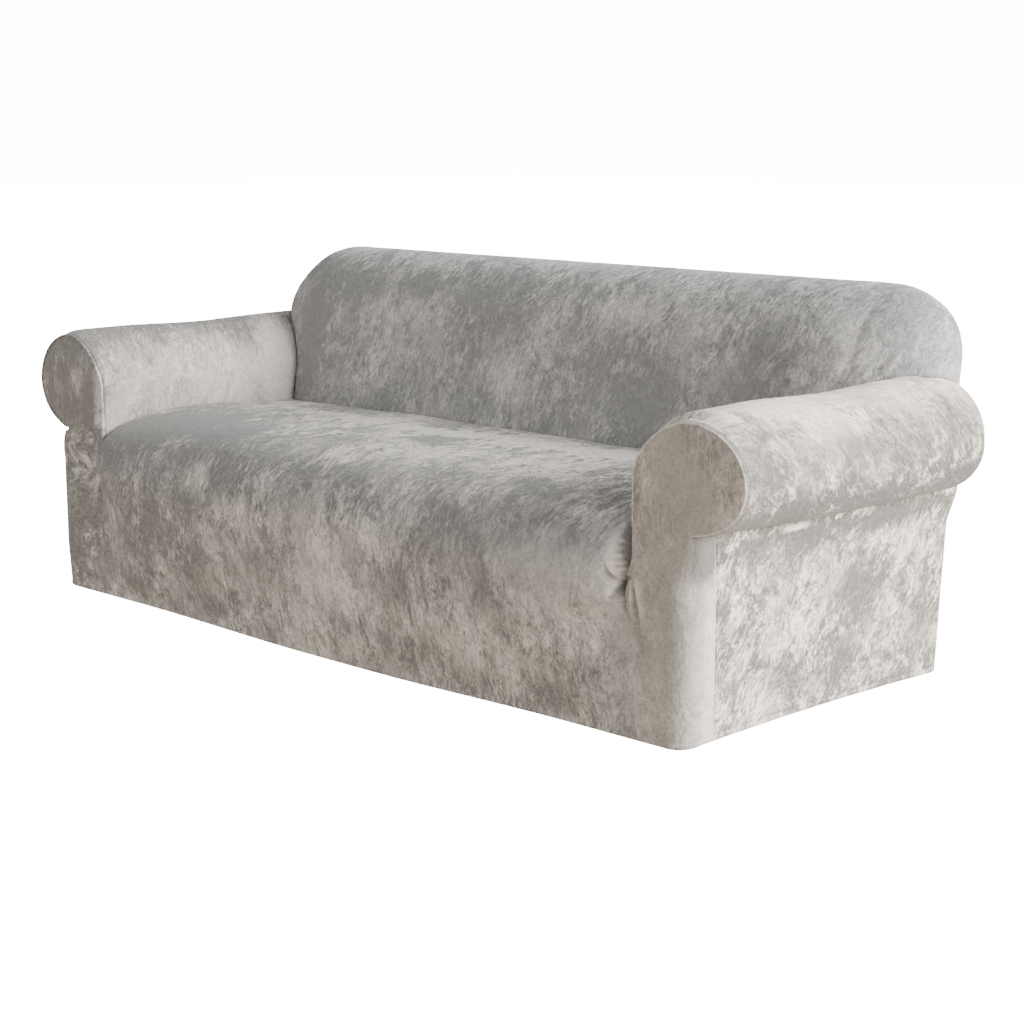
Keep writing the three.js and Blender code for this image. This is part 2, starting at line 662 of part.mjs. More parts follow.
// Rows of a lower panel: the turned hem, then up to the throat above each station.
function bodyRows(stations, top) {
  const rows = HEM_ROWS.map(({ z, inset }) =>
    stations.map(([run, part]) => {
      const place = bodyPlan(run, part, z, inset);
      return point(place.x, place.y, z);
    }),
  );
  for (const share of spread(0, 1, POST_ROWS).slice(1)) {
    rows.push(
      stations.map(([run, part], j) => {
        const z = lerp(HEM_CASING, top[j], 1 - (1 - share) ** 1.3);
        const place = bodyPlan(run, part, z);
        return point(place.x, place.y, z);
      }),
    );
  }
  return rows;
}

// Outer arm below the roll.
function outerSide(name, side) {
  const top = THROAT.slice(-SIDE_STATIONS.length).map(({ z }) => z - 2 * SEWN_GAP);
  const rows = bodyRows(SIDE_STATIONS, top);
  for (const row of rows) {
    row.forEach((p, j) => {
      const middle = Math.sin((Math.PI * Math.min(j, SIDE_STEPS)) / SIDE_STEPS);
      p.x += uneven(p.y * 1.3, p.z, middle * smoothstep(p.z, 20, 60) * (1 - smoothstep(p.z, 300, 360)));
    });
    pull(row[0], row[1], SEWN_GAP / 2);
    pull(row.at(-1), row.at(-2), SEWN_GAP / 2);
  }
  const panel = new Panel();
  panel.patch(rows, side);
  return meshOf(name, panel, SHADES.side);
}

// Rounded edge of the scroll front: how far each step lies in from the edge, and behind.
const RIM_STEPS = [RIM_END, 0.5, 0.25, 0].map((part) => {
  const turn = (part / RIM_END) * (Math.PI / 2);
  return { inset: RIM * (1 - Math.sin(turn)), behind: (RIM - 2 * SEWN_GAP) * (1 - Math.cos(turn)) };
});

// Scroll front with the post under it, wrapped on to the side.
function armFront(name, side) {
  const throat = THROAT[0].z;
  const seamRuns = RIM_STEPS.map((step) => ['seam', step]);
  const inner = spread(0, 1, 5).slice(1, -1).map((part) => ['field', part]);
  const corner = [0, 0.25, 0.5, RIM_END, 1].map((part) => ['frontCorner', part]);
  const wrap = [0.5, 1].map((part) => ['wrap', part]);
  const stations = [...seamRuns, ...inner, ...corner, ...wrap];
  const placeAt = ([run, value], z, inset) => {
    const edge = frontSeamX(z) + SEWN_GAP / 2;
    const rounded = smoothstep(z, PLAIN_Z, GATHER_Z);
    if (run === 'seam') {
      return { x: edge + value.inset, y: inset + value.behind * rounded };
    }
    if (run === 'field') {
      const start = edge + RIM_STEPS.at(-1).inset;
      return { x: lerp(start, bodyPlan('frontCorner', 0, z, inset).x, value), y: inset };
    }
    return bodyPlan(run, value, z, inset);
  };
  const heights = [
    ...HEM_ROWS,
    ...spread(0, 1, POST_ROWS + 2).slice(1).map((share) => ({
      z: lerp(HEM_CASING, throat, 1 - (1 - share) ** 1.3),
      inset: 0,
    })),
  ];
  const post = heights.map(({ z, inset }) =>
    stations.map((station) => {
      const place = placeAt(station, z, inset);
      const flat = place.y - inset < 1 ? foldDepth(place.x, z) : 0;
      return point(place.x, place.y + flat, z);
    }),
  );
  const top = post.at(-1);
  const joined = seamRuns.length + inner.length;

  // The rim strip follows the edge of the scroll from the inner seam over to the throat.
  const girths = spread(throat - ROLL_Z, THROAT[0].girth, SCROLL_STEPS).slice(1, -1);
  const centre = point(ROLL_X - 20, 0, ROLL_Z - 15);
  const strip = [
    [...top.slice(0, 4)],
    ...girths.map((girth) => {
      const edge = armPoint(girth, 0);
      const ahead = armPoint(girth + 1, 0).sub(edge).normalize();
      return RIM_STEPS.map(({ inset, behind }) =>
        point(edge.x + ahead.z * inset, behind, edge.z - ahead.x * inset),
      );
    }),
    [3, 2, 1, 0].map((step) => top[joined + step]),
  ];

  // The field inside the rim closes in rings on the middle of the scroll.
  const loop = [top[3], ...top.slice(4, joined), ...strip.map((row) => row[3]).reverse()];
  const rings = RING_SIZES.map((size) =>
    loop.map((p) => point(lerp(centre.x, p.x, size), 0, lerp(centre.z, p.z, size))),
  );
  for (const row of post) pull(row.at(-1), row.at(-2), SEWN_GAP / 2);
  top.slice(joined + 4).forEach((p) => {
    p.z -= SEWN_GAP / 2;
  });
  const panel = new Panel();
  panel.patch(post, side);
  panel.patch(strip, side);
  panel.patch(rings, side);
  return meshOf(name, panel, SHADES.front);
}

const cover = new THREE.Group();
cover.add(seatFront(), insideBack(), outsideBack());
for (const [word, side] of [['left', -1], ['right', 1]]) {
  cover.add(arm(`arm_${word}`, side));
  cover.add(armFront(`arm_front_${word}`, side));
  cover.add(outerSide(`side_${word}`, side));
}

export default cover;
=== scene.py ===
"""A stretch cover for a sofa with rolled arms, in light grey crushed velvet.

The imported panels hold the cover's size and place. Each panel is made again here as a fine sheet
of cloth in the same form, with its seams, gathers, folds and elastic hem, and dressed in velvet
whose crushed pile follows the cloth. The form is worked out in millimetres, with the front of the
arms at y = 0 and the hem at z = 0, and every mesh is then placed in the frame in metres.
"""

import logging
import math
from dataclasses import dataclass, field
from enum import Enum
from typing import Callable

import bmesh
import bpy
import numpy as np
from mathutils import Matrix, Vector

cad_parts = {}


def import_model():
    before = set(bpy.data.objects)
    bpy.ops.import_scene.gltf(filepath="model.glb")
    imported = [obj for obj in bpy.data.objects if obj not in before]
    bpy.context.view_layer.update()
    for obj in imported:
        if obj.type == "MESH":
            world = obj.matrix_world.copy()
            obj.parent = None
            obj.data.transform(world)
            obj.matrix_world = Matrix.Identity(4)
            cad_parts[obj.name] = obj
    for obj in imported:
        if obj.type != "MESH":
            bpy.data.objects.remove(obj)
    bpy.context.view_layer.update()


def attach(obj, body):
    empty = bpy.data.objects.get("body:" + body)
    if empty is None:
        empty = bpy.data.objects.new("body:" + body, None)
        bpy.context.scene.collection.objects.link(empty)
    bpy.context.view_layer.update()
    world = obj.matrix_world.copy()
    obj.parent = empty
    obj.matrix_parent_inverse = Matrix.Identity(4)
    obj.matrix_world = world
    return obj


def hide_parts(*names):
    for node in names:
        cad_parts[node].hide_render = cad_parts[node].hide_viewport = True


LOG = logging.getLogger("sofa_cover")
MM = 0.001

# Sizes of the cloth where panels meet, in millimetres
HALF_GAP = 0.15
CREASE_REACH = 11
THROAT_REACH = 8
THROAT_DRAW = (-3.5, 0, 3.0)
THROAT_AHEAD = (10, 45)
THROAT_BEHIND = (690, 830)

Array = np.ndarray
Socket = bpy.types.NodeSocket
Triple = tuple[float, float, float]
Pair = tuple[float, float]


def smooth(value: Array, low: float, high: float) -> Array:
    """Soft step from 0 at low to 1 at high."""
    t = np.clip((np.asarray(value, float) - low) / (high - low), 0, 1)
    return t * t * (3 - 2 * t)


def lerp(start: Array, end: Array, share: Array) -> Array:
    """The value a share of the way from start to end."""
    return start + (end - start) * share


def quarter(t: Array) -> Array:
    """Drop of a quarter circle of radius 1 at t across."""
    return 1 - np.sqrt(np.maximum(0, 1 - np.square(t)))


def turn_of(test: Callable[[Array], Array], low: Array, high: Array, steps: int = 30) -> Array:
    """Finds where a test turns from negative to positive, by halving.

    Args:
        test: Takes values between low and high.
        low: Lowest values.
        high: Highest values.
        steps: Number of halvings.

    Returns:
        The values at the turn.
    """
    low, high = np.array(low, float), np.array(high, float)
    for _ in range(steps):
        middle = (low + high) / 2
        under = test(middle) < 0
        low, high = np.where(under, middle, low), np.where(under, high, middle)
    return (low + high) / 2


def places(x: Array, y: Array, z: Array) -> Array:
    """Points from their three coordinates."""
    return np.stack(np.broadcast_arrays(x, y, z), axis=-1).astype(float)


def unit(vectors: Array) -> Array:
    """Vectors brought to length 1."""
    return vectors / np.maximum(np.linalg.norm(vectors, axis=-1, keepdims=True), 1e-6)


def run_length(points: Array, axis: int, from_end: bool = False) -> Array:
    """Distance of each grid point from one edge, measured along the cloth.

    Args:
        points: Grid of points, rows by columns by 3.
        axis: 0 to measure across the rows, 1 along them.
        from_end: True to measure from the last edge.

    Returns:
        Distances, rows by columns.
    """
    grid = np.flip(points, axis) if from_end else points
    steps = np.linalg.norm(np.diff(grid, axis=axis), axis=-1)
    total = np.cumsum(steps, axis=axis)
    zero = np.zeros_like(np.take(total, [0], axis=axis))
    total = np.concatenate([zero, total], axis=axis)
    return np.flip(total, axis) if from_end else total


def eased(steps: int, start: float = 1.0, end: float = 1.0) -> Array:
    """Shares from 0 to 1, closer together at an end whose power is over 1."""
    t = np.linspace(0, 1, steps + 1)
    first = t**start
    last = 1 - (1 - t) ** end
    return lerp(first, last, t)


class Run(Enum):
    """Stretches of the plan of the body below the rolls."""

    FRONT_CORNER = "front corner"
    WRAP = "wrap"
    SIDE = "side"
    REAR_CORNER = "rear corner"
    REAR = "rear"


@dataclass(frozen=True)
class BodyForm:
    """Plan of the body below the rolled arms, in millimetres."""

    half: float = 975
    depth: float = 817
    rear_rake: float = 0.06
    rear_bend: float = 5e-5
    rear_corner: float = 40
    front_corner: float = 50
    throat_corner: float = 30
    throat_flare: float = 18
    flare_start: float = 310
    throat_level: float = 391
    side_seam_y: float = 81
    seam_lean: float = 26
    rear_seam_x: float = 900
    casing: float = 16

    def rear_y(self, z: Array) -> Array:
        """Depth of the outside back at height z."""
        return self.depth + self.rear_rake * z + self.rear_bend * np.square(z)

    def plan(self, run: Run, part: float, z: Array, inset: Array = 0.0) -> tuple[Array, Array]:
        """Place in plan on one stretch.

        Args:
            run: The stretch.
            part: Share of the way along it.
            z: Heights.
            inset: How far in from the outline.

        Returns:
            x and y at each height.
        """
        flare = smooth(z, self.flare_start, self.throat_level)
        half = self.half + self.throat_flare * flare - inset
        rear = self.rear_y(z) - inset
        corner = lerp(self.front_corner, self.throat_corner, flare) - inset
        rear_corner = self.rear_corner - inset
        turn = part * math.pi / 2
        seam_y = self.side_seam_y - self.seam_lean * flare
        if run is Run.FRONT_CORNER:
            return half - corner + corner * math.sin(turn), inset + corner * (1 - math.cos(turn))
        if run is Run.WRAP:
            return half, lerp(inset + corner, seam_y, part)
        if run is Run.SIDE:
            return half, lerp(seam_y, rear - rear_corner, part)
        if run is Run.REAR_CORNER:
            x = half - rear_corner * (1 - math.cos(turn))
            return x, rear - rear_corner + rear_corner * math.sin(turn)
        return lerp(half - rear_corner, self.rear_seam_x, part), rear


@dataclass(frozen=True)
class ArmForm:
    """The rolled arm. Its cloth is measured as girth round the roll and length along it."""

    body: BodyForm
    inner: float = 839
    roll_x: float = 972
    roll_z: float = 500
    half: float = 133
    taper: float = 8
    top_front: float = 109
    top_rear: float = 130
    under_front: float = 98
    under_rear: float = 107
    inner_round: float = 1.7
    rim: float = 10
    dome_x: float = 925
    dome_start: float = 715
    dome_lag: float = 32
    dome_step: float = 140
    girth_step: float = 121
    top_run: Pair = (0, 700)
    under_run: Pair = (60, 320)

    def section(self, angle: Array, y: Array) -> tuple[Array, Array]:
        """Section of the roll at depth y: 180 degrees at the inner face, 90 on top."""
        c, s = np.cos(angle), np.sin(angle)
        power = np.where((c < 0) & (s > 0), 2 / self.inner_round, 1.0)
        along = smooth(y, *self.top_run)
        half = self.half - np.where(c > 0, self.taper * along, 0)
        up = lerp(self.top_front, self.top_rear, along)
        down = lerp(self.under_front, self.under_rear, smooth(y, *self.under_run))
        x = self.roll_x + np.sign(c) * half * np.abs(c) ** power
        return x, self.roll_z + np.sign(s) * np.where(s > 0, up, down) * np.abs(s) ** power

    def dome(self, angle: Array) -> tuple[Array, Array, Array]:
        """Start, width and depth of the quarter turn that ends one line of the roll."""
        start = self.dome_start + self.dome_lag * np.maximum(0, -np.sin(angle))
        width = self.section(angle, start)[0] - self.dome_x
        widest = self.section(np.zeros_like(start), start)[0] - self.dome_x
        return start, width, width / widest * (self.body.rear_y(self.roll_z) - start)

    def point(self, girth: Array, along: Array) -> Array:
        """Points of the arm's cloth; a girth below zero is on the flat inner face."""
        angle = math.pi - np.maximum(girth, 0) / self.girth_step
        start, width, depth = self.dome(angle)
        x, z = self.section(angle, np.minimum(along, start))
        turn = np.clip((along - start) / self.dome_step, 0, math.pi / 2)
        beyond = np.maximum(0, along - start - self.dome_step * math.pi / 2)
        rounded = along > start
        x = np.where(rounded, self.dome_x + width * np.cos(turn) - beyond, x)
        y = np.where(rounded, start + depth * np.sin(turn), along)
        flat = girth < 0
        return places(
            np.where(flat, self.inner, x),
            np.where(flat, along, y),
            np.where(flat, self.roll_z + girth, z),
        )

    def at(self, x: Array, y: Array, below: bool) -> tuple[Array, Array, Array]:
        """The roll's cloth above or below a place in plan, as girth, along and height."""
        x, y = np.broadcast_arrays(np.asarray(x, float), np.asarray(y, float))
        sign = -1.0 if below else 1.0
        over = np.maximum(x - self.dome_x, 0)

        def outside(size: Array) -> Array:
            start, width, depth = self.dome(sign * size)
            straight = self.section(sign * size, y)[0] - x
            rounded = 1 - (over / width) ** 2 - ((y - start) / depth) ** 2
            return np.where(y <= start, straight, rounded)

        angle = sign * turn_of(lambda size: -outside(size), np.zeros_like(x), np.full_like(x, math.pi / 2))
        if not below:
            c = np.clip((self.roll_x - x) / self.half, 0, 1) ** (self.inner_round / 2)
            inward = (x < self.roll_x) & (y <= self.dome_start)
            angle = np.where(inward, math.pi - np.arccos(c), angle)
        start, width, depth = self.dome(angle)
        turn = np.arctan2((y - start) / depth, over / width)
        rounded = start + turn * self.dome_step + np.maximum(0, self.dome_x - x)
        along = np.where(y <= start, y, rounded)
        return (math.pi - angle) * self.girth_step, along, self.section(angle, np.minimum(y, start))[1]


@dataclass(frozen=True)
class Crease:
    """A line where two panels meet: its points, and its place on the arm's cloth."""

    points: Array
    girth: Array
    along: Array


@dataclass(frozen=True)
class Band:
    """Steps over the rounded edge of the back, from its flat to the seam behind."""

    end_reach: Array
    end_drop: Array
    top_reach: Array
    top_drop: Array
    behind: Array

    def part(self, which: slice) -> "Band":
        """The same band with only some of its steps."""
        return Band(*(getattr(self, name)[which] for name in self.__dataclass_fields__))


@dataclass(frozen=True)
class BackForm:
    """The backrest: leaning plane, rounded ends and top, and the seam behind."""

    body: BodyForm
    arm: ArmForm
    seat_rear: float = 562
    seat_level: float = 423
    recline: float = 0.16
    band_x: float = 864
    band_z: float = 641
    end_start: float = 701
    end_reach: float = 305
    end_depth: float = 167
    top_reach: float = 161
    top_depth: float = 130
    rear_top_reach: float = 124
    rear_end_reach: float = 106
    tuck: float = 25
    flat_steps: int = 16
    shoulder_steps: int = 12
    front_steps: int = 32
    rear_steps: int = 24
    shoulder_girth: float = 190

    def plane(self, z: Array) -> Array:
        """Depth of the flat of the inside back at height z."""
        return self.seat_rear + self.recline * np.maximum(0, z - self.seat_level)

    def end_curve(self, x: Array) -> Array:
        """How far the inside back curves away towards its ends."""
        return self.end_depth * quarter(np.clip((np.abs(x) - self.end_start) / self.end_reach, 0, 1))

    def band(self) -> Band:
        """Steps across the rounded edge, front half first."""
        first = math.asin((self.band_x - self.end_start) / self.end_reach)
        t = eased(self.front_steps)
        end, top = lerp(first, math.pi / 2, t), t * math.pi / 2
        back = eased(self.rear_steps, end=1.6)[1:] * math.pi / 2
        reach = self.end_start + self.end_reach - self.band_x
        ones = np.ones_like(back)
        return Band(
            np.concatenate([self.end_start + self.end_reach * np.sin(end) - self.band_x,
                            reach - self.rear_end_reach * (1 - np.cos(back))]),
            np.concatenate([self.end_depth * (1 - np.cos(end)), self.end_depth * ones]),
            np.concatenate([self.top_reach * np.sin(top),
                            self.top_reach - self.rear_top_reach * (1 - np.cos(back))]),
            np.concatenate([self.top_depth * (1 - np.cos(top)), self.top_depth * ones]),
            np.concatenate([0 * t, np.sin(back)]),
        )

    def end_band(self, band: Band, z: Array) -> Array:
        """Points of the band round the end of the back at heights z."""
        ridge = self.plane(z) + band.end_drop
        return places(self.band_x + band.end_reach, lerp(ridge, self.body.rear_y(z), band.behind), z)

    def top_band(self, band: Band, x: Array) -> Array:
        """Points of the band along the top, steps by columns."""
        z = (self.band_z + band.top_reach)[:, None] + 0 * x
        low = np.where(band.behind[:, None] > 0, self.band_z + self.top_reach, z)
        ridge = self.plane(low) + band.top_drop[:, None] + self.end_curve(x)
        return places(x, lerp(ridge, self.body.rear_y(z), band.behind[:, None]), z)

    def corner_band(self, band: Band, turn: Array) -> Array:
        """Points of the band round the top corner: turn is 0 at the end, 90 degrees on top."""
        turn = np.asarray(turn, float)[:, None]
        c, s = np.cos(turn) ** 2, np.sin(turn) ** 2
        reach = band.end_reach * c + band.top_reach * s
        drop = band.end_drop * c + (band.top_drop + self.end_curve(self.band_x)) * s
        z = self.band_z + reach * np.sin(turn)
        low = np.where(band.behind > 0, self.band_z + self.top_reach * np.sin(turn), z)
        y = lerp(self.plane(low) + drop, self.body.rear_y(z), band.behind)
        return places(self.band_x + reach * np.cos(turn), y, z)

    def crease(self) -> Crease:
        """The crease between arm and back, from the seat up and round to the rear seam."""
        arm = self.arm
        z = np.linspace(self.seat_level - self.tuck, arm.roll_z, self.flat_steps + 1)
        y = self.plane(z) + self.end_curve(arm.inner)
        flat = (places(arm.inner, y, z), z - arm.roll_z, y)
        level = float(self.plane(arm.roll_z))
        edge = turn_of(lambda g: arm.point(g, level)[..., 0] - self.band_x, 0.0, self.shoulder_girth)
        girth = np.linspace(0, float(edge), self.shoulder_steps + 1)[1:]
        y = np.full_like(girth, level)
        for _ in range(6):
            place = arm.point(girth, y)
            y = self.plane(place[:, 2]) + self.end_curve(place[:, 0])
        shoulder = (arm.point(girth, y), girth, y)
        band = self.band().part(slice(1, None))

        def above(z: Array) -> Array:
            place = self.end_band(band, z)
            return z - arm.at(place[:, 0], place[:, 1], False)[2]

        count = len(band.behind)
        z = turn_of(above, np.full(count, arm.roll_z), np.full(count, self.band_z))
        points = self.end_band(band, z)
        girth, along, _ = arm.at(points[:, 0], points[:, 1], False)
        pieces = [flat, shoulder, (points, girth, along)]
        return Crease(*(np.concatenate([piece[i] for piece in pieces]) for i in range(3)))


@dataclass(frozen=True)
class SeatForm:
    """Side view of seat and apron, from the rear crease over the front edge to the hem."""

    profile: tuple[Pair, ...] = (
        (562, 424),
        (440, 431),
        (320, 436),
        (203, 435),
        (105, 426),
        (33, 407),
        (-14, 378),
        (-42, 336),
        (-55, 290),
        (-51, 230),
        (-36, 155),
        (-16, 75),
        (0, 16),
    )
    crown: float = 9
    cheek: float = 72
    seam_low_x: float = 856
    seam_high_x: float = 839
    gather_z: float = 296
    plain_z: float = 196
    gather_draw: float = 16
    draw_drop: float = 20
    draw_end: float = 350
    plain_cheek: float = 160
    allowance: float = 5
    rim_behind: float = 10
    tuck: float = 25

    def curve(self, t: Array) -> Array:
        """Points of the profile at shares t of its spans, on a smooth curve through them."""
        knots = np.array(self.profile, float)
        last = len(knots) - 1
        spans = np.clip(np.asarray(t, float), 0, 1) * last
        index = np.minimum(spans.astype(int), last - 1)
        w = (spans - index)[..., None]
        p = [knots[np.clip(index + k, 0, last)] for k in (-1, 0, 1, 2)]
        v0, v1 = (p[2] - p[0]) / 2, (p[3] - p[1]) / 2
        cubic = 2 * p[1] - 2 * p[2] + v0 + v1
        square = -3 * p[1] + 3 * p[2] - 2 * v0 - v1
        return cubic * w**3 + square * w**2 + v0 * w + p[1]

    def side(self, t: Array) -> tuple[Array, Array]:
        """Points of the profile and the way out of the cloth there."""
        step = 1e-4
        way = self.curve(np.asarray(t) + step) - self.curve(np.asarray(t) - step)
        way /= np.linalg.norm(way, axis=-1, keepdims=True)
        return self.curve(t), np.stack([way[..., 1], -way[..., 0]], axis=-1)

    def height(self, y: Array) -> Array:
        """Height of the seat at depth y."""
        y = np.asarray(y, float)
        t = turn_of(lambda s: y - self.curve(s)[..., 0], np.zeros_like(y), np.full_like(y, 0.5))
        return self.curve(t)[..., 1]

    def front_seam_x(self, z: Array) -> Array:
        """The seam between the apron and the scroll front at height z, drawn in at the gather."""
        drawn = smooth(z, self.plain_z - self.draw_drop, self.gather_z - self.draw_drop)
        drawn = drawn * (1 - smooth(z, self.gather_z, self.draw_end))
        straight = lerp(self.seam_low_x, self.seam_high_x, np.clip(z / self.gather_z, 0, 1))
        return straight - self.gather_draw * drawn


@dataclass(frozen=True)
class Stance:
    """Where the cover stands unevenly: a wider left post, a higher left roll, a wavy hem.

    Each unevenness has a size and the ranges where it sets in or fades: reach across, run in depth,
    rise and fade in height.
    """

    mid_depth: float = 412
    stand: float = 8.5
    left_spread: float = 54
    left_flare: float = 9
    left_sag: float = 12
    left_rise: float = 14
    left_corner: float = 26
    right_dip: float = 9
    hem_sag: float = 9
    hem_arch: float = 11
    hem_felt: float = 150
    front_run: Pair = (0, 60)
    sag_half: float = 700
    sag_reach: float = 600
    arch_start: float = -160
    arch_length: float = 1100
    post_seam: Pair = (856, 900)
    post_seam_run: Pair = (100, 700)
    post_reach: float = 70
    post_fade: Pair = (318, 430)
    flare_rise: Pair = (20, 120)
    roll_reach: Pair = (819, 899)
    roll_rise: Pair = (500, 641)
    roll_run: Pair = (60, 460)
    under_reach: Pair = (900, 990)
    under_rise: Pair = (380, 395)
    under_fade: Pair = (410, 500)
    corner_reach: Pair = (760, 1000)
    corner_rise: Pair = (620, 790)
    dip_reach: Pair = (800, 950)
    dip_rise: Pair = (700, 800)

    def place(self, points: Array) -> Array:
        """Points of the even form, moved to where the cover really stands."""
        x, y, z = (points[..., k].copy() for k in range(3))
        seam = lerp(*self.post_seam, smooth(y, *self.post_seam_run))
        post = smooth(-x - seam, 0, self.post_reach) * (1 - smooth(z, *self.post_fade))
        spread = self.left_spread + self.left_flare * smooth(z, *self.flare_rise)
        under = smooth(-x, *self.under_reach) * smooth(z, *self.under_rise)
        under = under * (1 - smooth(z, *self.under_fade))
        over_arm = smooth(-x, *self.roll_reach) * smooth(z, *self.roll_rise)
        rise = self.left_rise * over_arm * (1 - smooth(y, *self.roll_run))
        low = 1 - smooth(z, 0, self.hem_felt)
        ahead = 1 - smooth(y, *self.front_run)
        sag = self.hem_sag * ahead * smooth(self.sag_half - np.abs(x), 0, self.sag_reach)
        along = np.clip((y - self.arch_start) / self.arch_length, 0, 1)
        arch = self.hem_arch * np.sin(math.pi * along) * (1 - ahead)
        corner = self.left_corner * smooth(-x, *self.corner_reach) * smooth(z, *self.corner_rise)
        dip = self.right_dip * smooth(x, *self.dip_reach) * smooth(z, *self.dip_rise)
        moved_x = x - spread * post + corner
        moved_z = z - dip - corner + rise + low * (arch - sag) - self.left_sag * under
        return places(moved_x, y, moved_z)

    def framed(self, points: Array) -> Array:
        """Points of the stance in the frame, in metres."""
        return (points + np.array([0, -self.mid_depth, self.stand])) * MM


@dataclass(frozen=True)
class Fold:
    """A soft ridge, or a trough if its height is negative, on a panel's cloth in millimetres."""

    start: Pair
    end: Pair
    width: float
    height: float
    bow: float = 0.0
    head: float = 0.2

    def relief(self, u: Array, v: Array) -> Array:
        """Height of the fold at places on the cloth."""
        du, dv = self.end[0] - self.start[0], self.end[1] - self.start[1]
        length = math.hypot(du, dv)
        t = ((u - self.start[0]) * du + (v - self.start[1]) * dv) / length**2
        away = ((u - self.start[0]) * dv - (v - self.start[1]) * du) / length
        away = away - self.bow * 4 * np.clip(t, 0, 1) * (1 - np.clip(t, 0, 1))
        fade = smooth(t, 0, self.head) * (1 - smooth(t, self.head, 1))
        return self.height * fade * np.exp(-np.square(away / self.width))


@dataclass(frozen=True)
class ToneSpot:
    """A place on a panel's cloth, in millimetres, where the pile lies lighter or darker; some of these
    places are painted shade and painted highlights.
    """

    u: float
    v: float
    wide: float
    high: float
    tone: float
    lean: float = 0.0

    def amount(self, u: Array, v: Array) -> Array:
        """Share of lightening at places on the cloth, below zero where darker."""
        c, s = math.cos(math.radians(self.lean)), math.sin(math.radians(self.lean))
        a = ((u - self.u) * c + (v - self.v) * s) / self.wide
        b = ((v - self.v) * c - (u - self.u) * s) / self.high
        return self.tone * np.exp(-(np.square(a) + np.square(b)))


def uneven(a: Array, b: Array, share: Array) -> Array:
    """Slow unevenness of cloth stretched over a soft form."""
    wave = np.sin(a / 137 + 1.3) * np.sin(b / 71 + 0.4) + 0.6 * np.sin(a / 61 + b / 97)
    return 1.6 * wave * share


def ripple(u: Array, v: Array) -> Array:
    """Small restless swells of the velvet, a few tenths of a millimetre high."""
    wave = np.sin(u / 13.7 + 2.1 * np.sin(v / 39)) * np.sin(v / 17.9 + 1.7 * np.sin(u / 53))
    return 0.16 * wave + 0.3 * np.sin(u / 29 + 1.3 * np.sin(v / 47 + 1)) * np.sin(v / 37 + 0.7)


@dataclass(frozen=True)
class Seam:
    """Relief beside a stitched seam: a low ridge, and a groove where the stitches pull in."""

    ridge: float
    groove: float
    ridge_at: float = 3.2
    ridge_width: float = 1.8
    groove_width: float = 1.3

    def lip(self, distance: Array) -> Array:
        """Height of the cloth at a distance from the seam."""
        raised = self.ridge * np.exp(-np.square((distance - self.ridge_at) / self.ridge_width))
        return raised - self.groove * np.exp(-np.square(distance / self.groove_width))


BACK_SEAM = Seam(0.7, 1.2)
REAR_SEAM = Seam(0.6, 1.0)
SCROLL_SEAM = Seam(0.5, 1.4)
POST_SEAM = Seam(0.9, 0.9)
SIDE_SEAM = Seam(1.0, 0.3)
SIDE_SEAM_BEHIND = Seam(0.6, 0.4)


def seam_line(distance: Array, at: float, width: float, tone: float) -> Array:
    """A soft line at a distance from a seam, used for painted shade and highlights beside seams, and for
    the piping's raised cord.
    """
    return tone * np.exp(-np.square((distance - at) / width))


def tucked(distance: Array, reach: float) -> Array:
    """How much of a crease's pull a place feels, from 1 at the crease to 0 at reach."""
    return quarter(np.clip(1 - distance / reach, 0, 1))


def drawn_under(y: Array, distance: Array) -> Array:
    """How far the cloth of the roll and of the body is drawn into the throat between them.

    Args:
        y: Depths of the places.
        distance: How far they are from the throat along the cloth.

    Returns:
        A vector for each place, in millimetres.
    """
    share = tucked(distance, THROAT_REACH) * smooth(y, *THROAT_AHEAD) * (1 - smooth(y, *THROAT_BEHIND))
    return share[..., None] * np.array(THROAT_DRAW)


@dataclass(frozen=True)
class PileAndShading:
    """How the pile lies over a patch of cloth, with painted shade and highlights: lighter or darker, and
    how crushed.
    """

    nap: Array
    crush: Array

    def with_shading(self, line: Array) -> "PileAndShading":
        """The same pile, with painted shade and highlights added by line."""
        return PileAndShading(self.nap + line, self.crush)


